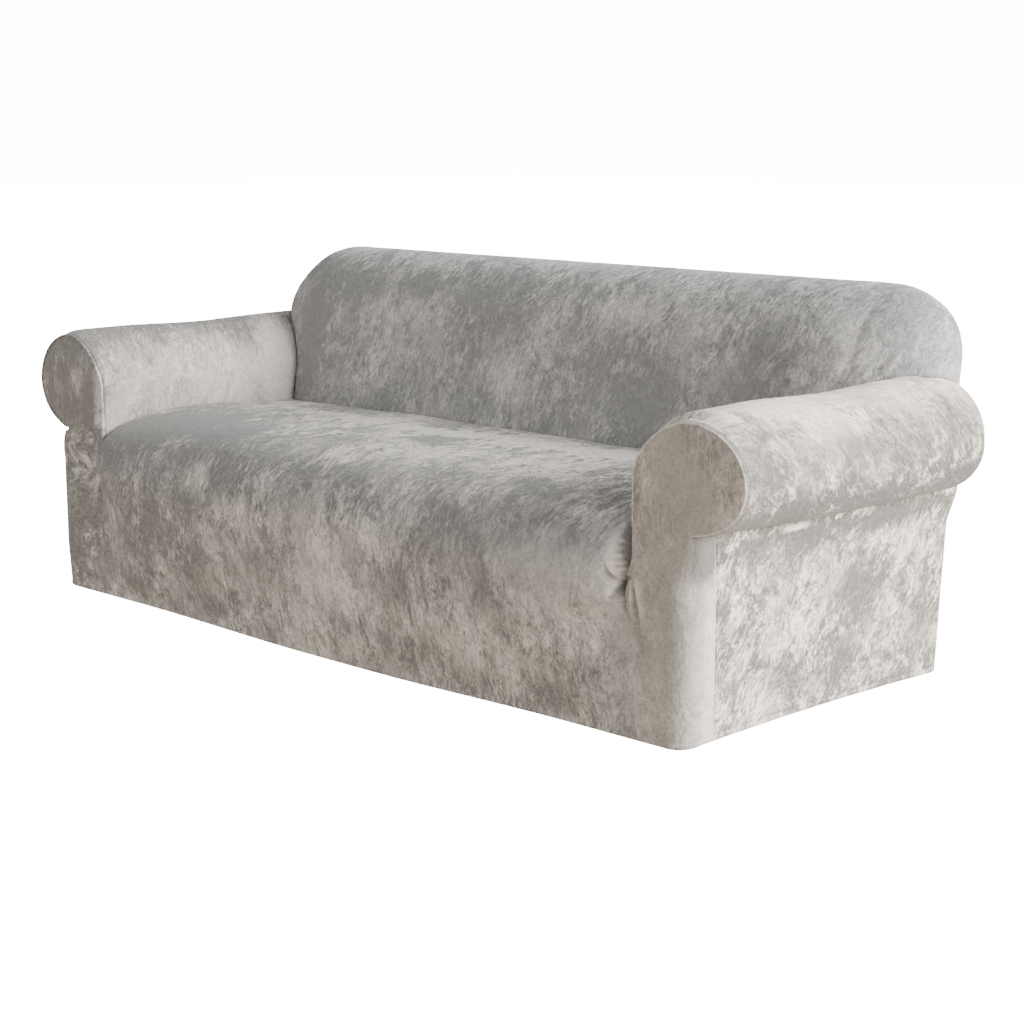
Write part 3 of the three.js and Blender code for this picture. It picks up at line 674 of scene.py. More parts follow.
class ClothSheet:
    """One panel of cloth, gathered as patches, then welded and given its thickness."""

    THICKNESS = 0.002
    UV_NAME = "cloth"
    # This layer carries pile tone together with the panels' painted shade and highlights
    NAP_AND_SHADING_NAME = "nap"
    CRUSH_NAME = "crush"

    def __init__(self, name: str, stance: Stance) -> None:
        """Starts an empty sheet.

        Args:
            name: Name of the piece.
            stance: Where the cover stands unevenly.
        """
        self.name = name
        self.stance = stance
        self.points: list[Array] = []
        self.cloth: list[Array] = []
        self.relief: list[Array] = []
        self.nap: list[Array] = []
        self.crush: list[Array] = []
        self.faces: list[Array] = []
        self.count = 0

    def patch(
        self, grid: Array, u: Array, v: Array, relief: Array, pile: PileAndShading, side: int = 1
    ) -> None:
        """Adds a grid of cloth whose columns crossed with its rows point outwards.

        Args:
            grid: Points of the even form, rows by columns by 3.
            u: Cloth coordinate across, in millimetres.
            v: Cloth coordinate down, in millimetres.
            relief: Height of folds and seams above the form.
            pile: How the pile lies, with painted shade and highlights.
            side: -1 for the mirrored half.
        """
        rows, columns = grid.shape[:2]
        shape = (rows, columns)
        points = grid * np.array([side, 1, 1])
        index = np.arange(rows * columns).reshape(shape) + self.count
        a, b, c, d = index[:-1, :-1], index[:-1, 1:], index[1:, 1:], index[1:, :-1]
        faces = np.stack([a, b, c, d] if side > 0 else [d, c, b, a], axis=-1).reshape(-1, 4)
        self.points.append(points.reshape(-1, 3))
        self.cloth.append(np.stack(np.broadcast_arrays(u, v), axis=-1).reshape(-1, 2))
        self.relief.append(np.broadcast_to(relief, shape).reshape(-1))
        self.nap.append(np.broadcast_to(pile.nap, shape).reshape(-1))
        self.crush.append(np.broadcast_to(pile.crush, shape).reshape(-1))
        self.faces.append(faces)
        self.count += rows * columns

    def build(self) -> bpy.types.Object:
        """Makes the mesh: welded, raised by its relief and solidified inwards.

        Returns:
            The finished sheet.
        """
        outer = self.stance.framed(self.stance.place(np.concatenate(self.points)))
        cloth = np.concatenate(self.cloth) * MM
        mesh = bpy.data.meshes.new(self.name)
        mesh.from_pydata(outer.tolist(), [], np.concatenate(self.faces).tolist())
        corners = np.empty(len(mesh.loops), np.int32)
        mesh.loops.foreach_get("vertex_index", corners)
        layer = mesh.uv_layers.new(name=self.UV_NAME)
        layer.data.foreach_set("uv", cloth[corners].astype(np.float32).ravel())
        layers = {self.NAP_AND_SHADING_NAME: self.nap, self.CRUSH_NAME: self.crush, "relief": self.relief}
        for name, values in layers.items():
            attribute = mesh.attributes.new(name, "FLOAT", "POINT")
            attribute.data.foreach_set("value", np.concatenate(values).astype(np.float32))
        piece = bpy.data.objects.new(self.name, mesh)
        bpy.context.scene.collection.objects.link(piece)
        self._weld(mesh)
        self._raise(mesh)
        self._thicken(piece)
        return piece

    @staticmethod
    def _weld(mesh: bpy.types.Mesh) -> None:
        """Joins the points that patches share and drops faces without area."""
        work = bmesh.new()
        work.from_mesh(mesh)
        bmesh.ops.remove_doubles(work, verts=work.verts, dist=0.00003)
        bmesh.ops.dissolve_degenerate(work, edges=work.edges, dist=0.000005)
        for face in work.faces:
            face.smooth = True
        work.to_mesh(mesh)
        work.free()

    @staticmethod
    def _raise(mesh: bpy.types.Mesh) -> None:
        """Moves each point out by its relief."""
        count = len(mesh.vertices)
        spots, normals = np.empty(count * 3, np.float32), np.empty(count * 3, np.float32)
        relief = np.empty(count, np.float32)
        mesh.vertices.foreach_get("co", spots)
        mesh.vertices.foreach_get("normal", normals)
        mesh.attributes["relief"].data.foreach_get("value", relief)
        moved = spots.reshape(-1, 3) + normals.reshape(-1, 3) * relief[:, None] * MM
        mesh.vertices.foreach_set("co", moved.ravel())
        mesh.attributes.remove(mesh.attributes["relief"])
        mesh.update()

    def _thicken(self, piece: bpy.types.Object) -> None:
        """Gives the sheet its thickness, inwards."""
        bpy.ops.object.select_all(action="DESELECT")
        bpy.context.view_layer.objects.active = piece
        piece.select_set(True)
        solidify = piece.modifiers.new("thickness", "SOLIDIFY")
        solidify.thickness = self.THICKNESS
        solidify.offset = -1
        bpy.ops.object.modifier_apply(modifier=solidify.name)
        piece.select_set(False)


class NodeNet:
    """The nodes of a finish or of the room, with short ways to add them."""

    def __init__(self, tree: bpy.types.NodeTree) -> None:
        """Starts with an empty tree."""
        tree.nodes.clear()
        self.tree = tree

    def add(self, kind: str, inputs: dict[str | int, object], **settings: object) -> bpy.types.Node:
        """Adds a node.

        Args:
            kind: Its type.
            inputs: A value or a socket for each input that is set.
            settings: Values of its other settings.

        Returns:
            The node.
        """
        node = self.tree.nodes.new(f"ShaderNode{kind}")
        for name, value in settings.items():
            setattr(node, name, value)
        for key, value in inputs.items():
            if isinstance(value, Socket):
                self.tree.links.new(value, node.inputs[key])
            else:
                node.inputs[key].default_value = value
        return node

    def maths(self, kind: str, a: Socket | float, b: Socket | float) -> Socket:
        """One sum of two values."""
        return self.add("Math", {0: a, 1: b}, operation=kind).outputs["Value"]

    def total(self, first: Socket, *others: Socket | float) -> Socket:
        """All values added up."""
        for other in others:
            first = self.maths("ADD", first, other)
        return first

    def noise(self, vector: Socket, scale: float, detail: float, rough: float = 0.5) -> Socket:
        """Noise between 0 and 1."""
        inputs = {"Vector": vector, "Scale": scale, "Detail": detail, "Roughness": rough}
        return self.add("TexNoise", inputs).outputs["Fac"]

    def centred(self, value: Socket, gain: float) -> Socket:
        """A noise as a swing about zero."""
        return self.maths("MULTIPLY", self.maths("SUBTRACT", value, 0.5), gain)

    def wandering(self, vector: Socket, scale: float, reach: float) -> Socket:
        """A vector led astray by a soft noise, so that strokes drawn on it curl."""
        drift = self.add("TexNoise", {"Vector": vector, "Scale": scale, "Detail": 2.0})
        inputs = {0: drift.outputs["Color"], 1: (reach, reach, 0), 2: vector}
        return self.add("VectorMath", inputs, operation="MULTIPLY_ADD").outputs["Vector"]


@dataclass(frozen=True)
class Velvet:
    """Crushed velvet: tones of its pile and how it lies on one panel; on some panels the tones are painted
    lighter or darker for the light falling there.
    """

    name: str
    dark: Triple
    light: Triple
    lean: float = 0.0
    seed: float = 0.0
    drawn: float = 2.0
    weave: float = 0.5
    patches: float = 4.6
    clouding: float = 3.8
    roughness: float = 0.88
    sheen: float = 0.2
    relief: float = 0.003

    def mapped(self, net: NodeNet, vector: Socket, size: Pair, turn: float) -> Socket:
        """Places on the cloth, turned and drawn out by a size across and along."""
        inputs = {
            "Vector": vector,
            "Location": (self.seed, self.seed * 0.7, 0),
            "Rotation": (0, 0, math.radians(turn)),
            "Scale": (*size, 1),
        }
        return net.add("Mapping", inputs, vector_type="TEXTURE").outputs["Vector"]

    def lie(self, net: NodeNet, cloth: Socket, crush: Socket, fine: tuple[Socket, ...]) -> Socket:
        """How the pile lies: the panel's pile tone with its painted shade and highlights, and tufts crushed
        in patches and clouds.

        Args:
            net: The nodes.
            cloth: Place on the cloth.
            crush: How crushed the pile is there.
            fine: Noise of the tufts, strokes and hairs.

        Returns:
            Below zero where the pile looks dark, above where it looks light.
        """
        clouds = net.noise(self.mapped(net, cloth, (1.0, 1.4), self.lean), self.patches, 4.0)
        patchy = net.noise(self.mapped(net, cloth, (1.0, 1.6), self.lean), 11.0, 2.0)
        crushed = net.total(*(net.centred(noise, gain) for noise, gain in zip(fine, (4.2, 2.7, 1.4))))
        crushed = net.maths("MULTIPLY", crushed, net.total(net.centred(patchy, 3.6), 1.0))
        crushed = net.maths("MULTIPLY", net.total(crushed, net.centred(clouds, self.clouding)), crush)
        nap = net.add("Attribute", {}, attribute_name=ClothSheet.NAP_AND_SHADING_NAME)
        return net.total(nap.outputs["Fac"], crushed)

    def grain(self, net: NodeNet, cloth: Socket, crush: Socket, fine: tuple[Socket, ...]) -> Socket:
        """Brightness of the single hairs and threads, about 1."""
        _, strokes, hairs = fine
        pile = net.total(net.centred(strokes, 0.8), net.centred(hairs, 1.1))
        pile = net.maths("MULTIPLY", pile, crush)
        threads = [
            net.centred(net.noise(self.mapped(net, cloth, size, 0.0), 480.0, 1.0), self.weave)
            for size in ((1.0, 5.0), (5.0, 1.0))
        ]
        return net.total(pile, *threads, 1.0)

    def make(self) -> bpy.types.Material:
        """Builds the finish.

        Returns:
            The material, which reads the sheet's own cloth map, nap and crush.
        """
        material = bpy.data.materials.new(self.name)
        material.use_nodes = True
        net = NodeNet(material.node_tree)
        cloth = net.add("UVMap", {}, uv_map=ClothSheet.UV_NAME).outputs["UV"]
        crush = net.add("Attribute", {}, attribute_name=ClothSheet.CRUSH_NAME).outputs["Fac"]
        swayed = net.wandering(cloth, 7.0, 0.06)
        curled = net.wandering(swayed, 42.0, 0.012)
        tufts = net.noise(self.mapped(net, curled, (1.0, self.drawn), self.lean), 30.0, 6.0, 0.66)
        drawn = self.mapped(net, curled, (1.0, 1.3 * self.drawn), self.lean)
        fine = (tufts, net.noise(drawn, 110.0, 3.0, 0.65), net.noise(drawn, 290.0, 2.0, 0.65))

        lie = self.lie(net, swayed, crush, fine)
        limits = {"Value": lie, "From Min": -1.0, "From Max": 1.1}
        tone = net.add("MapRange", limits, interpolation_type="SMOOTHSTEP")
        inputs = {"Factor": tone.outputs["Result"], "A": (*self.dark, 1), "B": (*self.light, 1)}
        shade = net.add("Mix", inputs, data_type="RGBA")
        grain = self.grain(net, cloth, crush, fine)
        grey = net.add("CombineColor", {channel: grain for channel in ("Red", "Green", "Blue")})
        inputs = {"Factor": 1.0, "A": shade.outputs["Result"], "B": grey.outputs["Color"]}
        colour = net.add("Mix", inputs, data_type="RGBA", blend_type="MULTIPLY")
        height = net.total(fine[1], net.maths("MULTIPLY", tufts, 1.5))
        bump = net.add("Bump", {"Strength": 0.6, "Distance": self.relief, "Height": height})
        inputs = {
            "Base Color": colour.outputs["Result"],
            "Normal": bump.outputs["Normal"],
            "Roughness": self.roughness,
            "Specular IOR Level": 0.25,
            "Sheen Weight": self.sheen,
            "Sheen Roughness": 0.4,
            "Sheen Tint": (0.95, 0.94, 0.92, 1),
        }
        shader = net.add("BsdfPrincipled", inputs)
        net.add("OutputMaterial", {"Surface": shader.outputs["BSDF"]})
        return material


CORNER_STATIONS = 8
THROAT_STEPS = ((Run.WRAP, 16), (Run.SIDE, 96), (Run.REAR_CORNER, 24), (Run.REAR, 6))


@dataclass
class CoverForm:
    """All the forms that the panels share, and the creases between them."""

    body: BodyForm = field(default_factory=BodyForm)
    seat: SeatForm = field(default_factory=SeatForm)
    stance: Stance = field(default_factory=Stance)

    def __post_init__(self) -> None:
        """Works out the arm, the back and the two creases."""
        self.arm = ArmForm(self.body)
        self.rim_end = math.acos(1 - self.arm.rim / self.body.throat_corner) / (math.pi / 2)
        self.back = BackForm(self.body, self.arm)
        self.crease = self.back.crease()
        self.throat = self._throat()

    def throat_stations(self) -> list[tuple[Run, float]]:
        """Stations along the throat, from the scroll front to the rear seam."""
        corner = lerp(self.rim_end, 1.0, np.linspace(0, 1, CORNER_STATIONS))
        stations = [(Run.FRONT_CORNER, float(t)) for t in corner]
        for run, steps in THROAT_STEPS:
            stations += [(run, float(t)) for t in np.linspace(0, 1, steps + 1)[1:]]
        return stations

    def side_stations(self) -> list[tuple[Run, float]]:
        """The stations of the throat that the outer side has below them."""
        after = [s for s in self.throat_stations() if s[0] not in (Run.FRONT_CORNER, Run.WRAP)]
        return [(Run.SIDE, 0.0), *after]

    def plan_line(self, stations: list[tuple[Run, float]], z: Array, inset: Array = 0.0) -> Array:
        """Points of a line of stations, each at its own height."""
        z = np.broadcast_to(z, len(stations)).astype(float)
        inset = np.broadcast_to(inset, len(stations)).astype(float)
        pairs = [self.body.plan(run, part, z[i], inset[i]) for i, (run, part) in enumerate(stations)]
        x, y = (np.array([float(pair[k]) for pair in pairs]) for k in range(2))
        return places(x, y, z)

    def _throat(self) -> Crease:
        """The crease under the roll, where the body meets its underside."""
        stations = self.throat_stations()
        count = len(stations)

        def above(z: Array) -> Array:
            line = self.plan_line(stations, z)
            return z - self.arm.at(line[:, 0], line[:, 1], True)[2]

        z = turn_of(above, np.full(count, self.arm.roll_z - 150), np.full(count, self.arm.roll_z), 24)
        points = self.plan_line(stations, z)
        girth, along, _ = self.arm.at(points[:, 0], points[:, 1], True)
        points[-1] = self.crease.points[-1]
        girth[-1], along[-1] = self.crease.girth[-1], self.crease.along[-1]
        return Crease(points, girth, along)


# Height and inset of the hem casing, from its edge inside, round the fold and up the outside
HEM_PROFILE = (
    (1.6, 26.0),
    (0.5, 14.0),
    (0.0, 7.0),
    (0.5, 3.6),
    (1.8, 1.6),
    (4.0, 0.5),
    (7.0, 0.0),
    (11.0, 0.1),
    (14.0, 0.3),
    (15.6, 0.8),
    (17.2, 0.3),
    (20.0, 0.1),
)
# The row of the casing from which the cloth is measured
HEM_BOTTOM = 6
HEM_STITCH = 15.6


def hem_pucker(along: Array, z: Array) -> Array:
    """Small puckers that the elastic draws along the hem casing."""
    wave = np.sin(along / 3.1 + 2.2 * np.sin(along / 23)) + 0.6 * np.sin(along / 6.7 + 1)
    return 0.14 * wave * smooth(z, 1, 6) * (1 - smooth(z, 12, 34))


@dataclass
class Panel:
    """A sewn panel of the cover: where it lies, how it was cut and what it replaces."""

    form: CoverForm
    node: str
    velvet: Velvet
    cut: Pair
    cut_share: float = 1.0
    folds: tuple[Fold, ...] = ()
    # Spots of pile tone, some of them painted shade and painted highlights
    tones_and_shading: tuple[ToneSpot, ...] = ()
    calmings: tuple[ToneSpot, ...] = ()
    crush: float = 1.0
    # Strength of the painted shade along the hem stitch, with a painted highlight on the casing below
    hem_shading: float = 0.0

    def surface(self, u: Array, v: Array, calm: Array) -> Array:
        """Relief of the panel's folds and restless swells.

        Args:
            u: Cloth coordinate across, in millimetres.
            v: Cloth coordinate down, in millimetres.
            calm: Share of the swells that is left, 0 at a seam.

        Returns:
            Heights above the form, in millimetres.
        """
        relief = ripple(u, v) * calm
        for fold in self.folds:
            relief = relief + fold.relief(u, v)
        return relief

    def lie(self, u: Array, v: Array) -> PileAndShading:
        """How the pile lies at places on the cloth, with the panel's painted shade and highlights."""
        nap = np.zeros(np.broadcast(u, v).shape)
        crush = nap + self.crush
        # Pile tone, with painted shade and highlights in some of the spots
        for tone_spot in self.tones_and_shading:
            nap = nap + tone_spot.amount(u, v)
        for calming in self.calmings:
            crush = crush * (1 - calming.amount(u, v))
        # Painted shade in the hem's stitch line and painted highlight on the casing below it
        if self.hem_shading:
            nap = nap + seam_line(v, HEM_STITCH, 1.8, -self.hem_shading)
            nap = nap + seam_line(v, 9.0, 4.0, 0.4 * self.hem_shading)
        return PileAndShading(nap, crush)

    def weave(self) -> ClothSheet:
        """Gathers the panel's patches."""
        raise NotImplementedError

    def build(self) -> bpy.types.Object:
        """Returns:
            The finished piece.
        """
        piece = self.weave().build()
        piece.data.materials.append(self.velvet.make())
        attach(piece, "root")
        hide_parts(self.node)
        LOG.info("%s: %d faces", piece.name, len(piece.data.polygons))
        return piece


# Rows of the seat where it turns down into the crease at the back
TUCK_PARTS = (0, 0.25, 0.45, 0.62, 0.76, 0.87, 0.95, 1)


@dataclass
class SeatFront(Panel):
    """Seat deck and apron in one piece, gathered beside the arms."""

    columns: int = 132
    cheek_columns: int = 34
    fine_rows: int = 104
    rows: int = 86
    fine_run: Pair = (210, 405)
    samples: int = 2000
    casing_top: float = 21.0
    crease_run: float = 26
    deck_rise: Pair = (380, 415)
    crown_rise: Pair = (250, 400)
    hem_rise: Pair = (16, 60)
    rear_run: float = 300
    pleat_depth: float = 60

    def across(self, half: float, stretch: float) -> Array:
        """Columns from edge to edge, close together over the stretch at each edge."""
        inner = half - stretch
        edge = inner + stretch * eased(self.cheek_columns, end=1.7)[1:]
        return np.concatenate([-edge[::-1], np.linspace(-inner, inner, self.columns + 1), edge])

    def run_places(self, start: float, end: float) -> Array:
        """Places of the rows along the run, closest together where the cloth is gathered."""
        first, last = self.fine_run
        share = (first - start) / (first - start + end - last)
        below = np.linspace(start, first, round(self.rows * share) + 1)
        fine = np.linspace(first, last, self.fine_rows + 1)
        above = np.linspace(last, end, self.rows - len(below) + 2)
        return np.concatenate([below, fine[1:], above[1:]])

    def row(
        self, y: float, z: float, out: Pair, tuck: float, inset: float
    ) -> tuple[Array, Array, Array]:
        """One row of the panel.

        Args:
            y: Depth of the profile there.
            z: Height of the profile there.
            out: Way out of the cloth, as y and z.
            tuck: Share of the tuck at the rear crease.
            inset: How far the hem is turned in.

        Returns:
            The row's points, its cloth coordinate across and its calm.
        """
        form, seat = self.form, self.form.seat
        deck = float(smooth(z, *self.deck_rise))
        front = float(smooth(-z, -seat.gather_z - 40, -seat.gather_z + 10))
        plain = float(smooth(-z, -seat.gather_z + 12, -seat.plain_z))
        cheek = lerp(lerp(seat.tuck, seat.cheek, front), seat.plain_cheek, plain)
        behind = lerp(0, seat.rim_behind, float(smooth(z, seat.plain_z, seat.gather_z)))
        need = (behind - y) / max(-out[0], 0.25)
        depth = seat.tuck if deck == 1 else max(need, seat.tuck if front < 1 else 0)
        seam = float(seat.front_seam_x(z - out[1] * depth))
        edge = lerp(seam, form.arm.inner, deck) - HALF_GAP * (1 - plain)
        x = self.across(edge, cheek)
        t = np.clip((np.abs(x) - edge + cheek) / cheek, 0, 1)
        rounded = lerp(quarter(np.minimum(1, np.hypot(t, tuck))), smooth(t, 0, 1), plain)
        middle = 1 - np.minimum(1, np.abs(x) / form.arm.inner) ** 2
        crown = seat.crown * middle * float(smooth(z, *self.crown_rise))
        share = (1 - t) * (1 - tuck) * float(smooth(z, *self.hem_rise))
        lift = crown + uneven(x, y + z * 1.7, share) - rounded * depth
        follow = form.back.end_curve(x) * float(smooth(y, self.rear_run, form.back.seat_rear - seat.tuck))
        points = places(x, y + out[0] * lift + inset + follow, z + out[1] * lift)
        turned = np.array([seat.allowance, seat.allowance, 0])
        points = np.stack([points[0] + turned * (-1, 1, 1), *points, points[-1] + turned])
        calm = 1 - smooth(t, 0.3, 0.9) * (1 - plain)
        return points, np.pad(x, 1, "edge"), np.pad(calm, 1, "edge")

    def weave(self) -> ClothSheet:
        """Gathers the rows from the hem over the front edge to the rear crease."""
        form, seat = self.form, self.form.seat
        rows = [self.row(0, z, (-1, 0), 0, inset) for z, inset in HEM_PROFILE[:-2]]
        fine = np.linspace(0, 1, self.samples)
        line = seat.curve(fine)
        length = run_length(line, 0)
        apron = line[:, 1] < seat.gather_z
        low = float(np.interp(self.casing_top, line[apron, 1][::-1], length[apron][::-1]))
        for place in self.run_places(length[-1] - low, length[-1] - self.crease_run):
            t = float(np.interp(length[-1] - place, length, fine))
            (y, z), out = seat.side(t)
            rows.append(self.row(float(y), float(z), (float(out[0]), float(out[1])), 0, 0))
        for part in TUCK_PARTS:
            y = form.back.seat_rear - 0.3 - seat.tuck * (1 - part)
            rows.append(self.row(y, float(seat.height(y)), (0, 1), part, 0))
        grid = np.stack([row[0] for row in rows])
        u = np.stack([row[1] for row in rows])
        calm = np.stack([row[2] for row in rows])
        middle = run_length(grid[:, grid.shape[1] // 2 : grid.shape[1] // 2 + 1], 0)
        v = np.broadcast_to(middle - middle[HEM_BOTTOM], u.shape)
        z = grid[..., 2]
        relief = self.surface(u, v, calm * smooth(z, *self.hem_rise)) + hem_pucker(u, z)
        pleats = gathered(grid[..., 0], z) * (grid[..., 1] < self.pleat_depth)
        grid[..., 1] -= pleats
        sheet = ClothSheet("seat_front_cloth", form.stance)
        # Painted shade and highlights follow the pleats
        sheet.patch(grid, u, v, relief, self.lie(u, v).with_shading(PLEAT_SHADE * pleats))
        return sheet


PLEAT_DEPTH = 1.8
# Painted shade in the pleats' troughs and painted highlight on their ridges, per millimetre of pleat
PLEAT_SHADE = 0.25
GATHERS = (
    Fold((838, 373), (816, 378), 3, 1.2, 1, 0.3),
    Fold((838, 360), (813, 363), 3, 1.5, 1.5, 0.3),
    Fold((838, 347), (811, 347), 3, 1.7, 2, 0.3),
    Fold((836, 334), (809, 330), 3, 1.8, 2.5, 0.3),
    Fold((834, 322), (811, 313), 3, 1.8, 3, 0.3),
    Fold((809, 347), (828, 286), 4, -2.4, 5.5, 0.5),
    Fold((815, 345), (830, 292), 4, 1.8, 4, 0.5),
    Fold((830, 312), (805, 248), 3.5, -2.8, 0, 0.15),
    Fold((825, 308), (798, 254), 4.5, 2.2, 0, 0.2),
    Fold((829, 304), (818, 258), 3, -2.6, 0, 0.15),
    Fold((832, 306), (826, 256), 3, 2.2, 0, 0.15),
    Fold((833, 312), (831, 246), 3.5, -3.0, 0, 0.12),
    Fold((838, 312), (843, 222), 5, 2.6, 0, 0.2),
    Fold((836, 318), (866, 168), 6, -2.6, -3, 0.12),
    Fold((846, 320), (880, 180), 9, 1.8, -3, 0.2),
)


def gathered(x: Array, z: Array) -> Array:
    """How far the pleats and pulled folds of the gather beside the arm stand out.

    Args:
        x: Place across, on either side.
        z: Height.

    Returns:
        Distances forward, in millimetres.
    """
    x = np.abs(x)
    return PLEAT_DEPTH * sum(fold.relief(x, z) for fold in GATHERS)


@dataclass
class InsideBack(Panel):
    """Front of the back, wrapped over its top and round both ends."""

    columns: int = 150
    edge_columns: int = 12
    upper_rows: int = 20
    fan_steps: int = 18
    top_slack: float = 0.7
    calm_rise: Pair = (425, 520)
    calm_behind: Pair = (0.6, 0.98)

    def across(self, half: float) -> Array:
        """Columns from edge to edge, close together near each edge."""
        inner = half - self.form.back.tuck
        edge = inner + self.form.back.tuck * eased(self.edge_columns, end=1.4)[1:]
        return np.concatenate([-edge[::-1], np.linspace(-inner, inner, self.columns + 1), edge])

    def middle(self, pull: Array) -> tuple[Array, Array, Array]:
        """The field between the ends, from the seat up to the rounded top.

        Args:
            pull: Draw of the cloth into the crease, at each of its points.

        Returns:
            Points, and the cloth's coordinates across and up.
        """
        back, crease = self.form.back, self.form.crease.points
        last = back.flat_steps + back.shoulder_steps
        levels = np.linspace(crease[last, 2], back.band_z, self.upper_rows + 1)[1:]
        edges = np.concatenate([crease[: last + 1, 0], np.full(len(levels), back.band_x)])
        heights = np.concatenate([crease[: last + 1, 2], levels])
        u = np.stack([self.across(edge) for edge in edges])
        z = heights[:, None] + 0 * u
        share = smooth(z, back.seat_level + 10, self.calm_rise[1]) * (1 - (u / edges[:, None]) ** 4)
        field = places(u, back.plane(z) + back.end_curve(u) - uneven(u, z, share), z)
        for sign, column in ((1, slice(None, None, -1)), (-1, slice(None))):
            rows = field[: last + 1, column]
            drawn = pull[: last + 1, None] * np.array([sign, 1, 1])
            field[: last + 1, column] = rows + drawn * tucked(run_length(rows, 1), CREASE_REACH)[..., None]
        return field, u, z

    def over_top(self, band: Band, x: Array) -> Array:
        """The rounded top between the corners, down to the seam behind."""
        back = self.form.back
        over = back.top_band(band.part(slice(1, None)), x)
        share = (1 - (x / back.band_x) ** 4) * (1 - band.behind[1:, None])
        over[..., 1] -= self.top_slack * uneven(x, over[..., 2], share)
        return over

    def lay(self, sheet: ClothSheet, grid: Array, u: Array, v: Array, calm: Array, side: int) -> None:
        """Adds a patch whose rows end at the seam behind, on one side."""
        relief = self.surface(u, v, calm) + BACK_SEAM.lip(run_length(grid, 1, from_end=True))
        sheet.patch(grid, u, v, relief, self.lie(u, v), side)

    def weave(self) -> ClothSheet:
        """Gathers the middle field, the bands round the ends and the top corners."""
        back, band = self.form.back, self.form.back.band()
        pull = crease_draw(self.form)
        turns = np.linspace(0, math.pi / 2, self.fan_steps + 1)[:, None]
        fan = back.corner_band(band, turns[:, 0])
        girth, top_run = run_length(fan[0], 0), run_length(fan[-1], 0)
        sheet = ClothSheet("inside_back_cloth", self.form.stance)

        middle, u, v = self.middle(pull)
        over_x = self.across(back.band_x)
        over = self.over_top(band, over_x)
        grid = np.concatenate([middle, over])
        u = np.concatenate([u, np.broadcast_to(over_x, over.shape[:2])])
        v = np.concatenate([v, back.band_z + np.broadcast_to(top_run[1:, None], over.shape[:2])])
        ahead = 1 - smooth(band.behind, *self.calm_behind)
        above = np.concatenate([np.ones(len(middle)), ahead[1:]])[:, None]
        relief = self.surface(u, v, smooth(v, *self.calm_rise) * above)
        relief = relief + BACK_SEAM.lip(run_length(grid, 0, from_end=True))
        sheet.patch(grid, u, v, relief, self.lie(u, v))

        last = back.flat_steps + back.shoulder_steps
        low = self.form.crease.points[last:, 2]
        parts = np.linspace(0, 1, self.upper_rows + 1)
        end_v = np.stack([lerp(low, back.band_z, part) for part in parts])
        end = np.stack([back.end_band(band, level) for level in end_v])
        end = end + pull[last:][None] * tucked(run_length(end, 0), CREASE_REACH)[..., None]
        end_u = (back.band_x + girth)[None] + 0 * end_v
        reach = lerp(girth, top_run, turns / (math.pi / 2))
        fan_u, fan_v = back.band_x + reach * np.cos(turns), back.band_z + reach * np.sin(turns)
        for side in (1, -1):
            self.lay(sheet, end, side * end_u, end_v, ahead[None] * smooth(end_v - low, 2, 30), side)
            self.lay(sheet, fan, side * fan_u, fan_v, ahead, side)
        return sheet


def crease_draw(form: CoverForm, depth: float = 7.0) -> Array:
    """Draw of the arm's and the back's cloth into the crease between them.

    Args:
        form: The cover's forms.
        depth: How far each sheet gives way.

    Returns:
        A vector for each point of the crease, in millimetres.
    """
    crease, arm, back = form.crease, form.arm, form.back
    forward, inward = np.array([0.0, -1.0, 0.0]), np.array([-1.0, 0.0, 0.0])
    step = 2.0
    ahead = unit(arm.point(crease.girth, crease.along - step) - arm.point(crease.girth, crease.along))
    line = unit(np.gradient(crease.points, axis=0))
    arm_out = unit(np.cross(line, ahead))
    back_out = np.cross([0.0, 0.0, 1.0], line)
    upright = np.linalg.norm(back_out, axis=1, keepdims=True) <= 0.25
    back_out = np.where(upright, forward, unit(back_out))
    back_out[: back.flat_steps + back.shoulder_steps + 1] = forward
    facing = np.sign(np.sum(back_out * ahead, axis=1, keepdims=True))
    back_out = back_out * np.where(facing == 0, 1, facing)
    outward = np.where((arm_out[:, 2:] < 0) & (np.arange(len(line))[:, None] > back.flat_steps), -1, 1)
    arm_out = arm_out * outward
    arm_out[: back.flat_steps + 1] = inward
    return -depth * 0.5 * (arm_out + back_out)


@dataclass
class OutsideBack(Panel):
    """Plain rear panel from the seam behind the top down to the hem."""

    columns: int = 110
    rows: int = 44
    corner_rows: int = 12
    first_row: float = 30
    wave_shift: float = 300
    wave_rise: Pair = (16, 80)
    wave_fade: Pair = (560, 640)
    lip_rise: Pair = (10, 30)

    def weave(self) -> ClothSheet:
        """Gathers the rows from the hem up to the top seam."""
        form, body, back = self.form, self.form.body, self.form.back
        rear = back.band().part(slice(-1, None))
        corner = back.corner_band(rear, np.linspace(0, math.pi / 2, self.corner_rows + 1))[:, 0]
        hem = np.array(HEM_PROFILE)
        middle = np.linspace(self.first_row, back.band_z, self.rows)[:-1]
        heights = np.concatenate([hem[:, 0], middle, corner[:, 2]])
        insets = np.concatenate([hem[:, 1], np.zeros(len(middle) + len(corner))])
        edges = np.concatenate([np.full(len(hem) + len(middle), body.rear_seam_x), corner[:, 0]])
        part = 1 - 2 * eased(self.columns, start=1.25, end=1.25)
        u = part[None] * (edges[:, None] - HALF_GAP)
        z = heights[:, None] + 0 * u
        share = (1 - part**4) * smooth(z, *self.wave_rise) * (1 - smooth(z, *self.wave_fade))
        y = body.rear_y(z) - insets[:, None] + uneven(u + self.wave_shift, z, share)
        grid = places(u, y, z)
        side = np.minimum(run_length(grid, 1), run_length(grid, 1, from_end=True))
        top = run_length(grid, 0, from_end=True)
        lip = REAR_SEAM.lip(side) * smooth(z, *self.lip_rise) + BACK_SEAM.lip(top)
        calm = smooth(side, 2, 30) * smooth(top, 2, 30)
        relief = self.surface(u, z, calm) + lip + hem_pucker(u, z)
        sheet = ClothSheet("outside_back_cloth", form.stance)
        sheet.patch(grid, u, z, relief, self.lie(u, z))
        return sheet


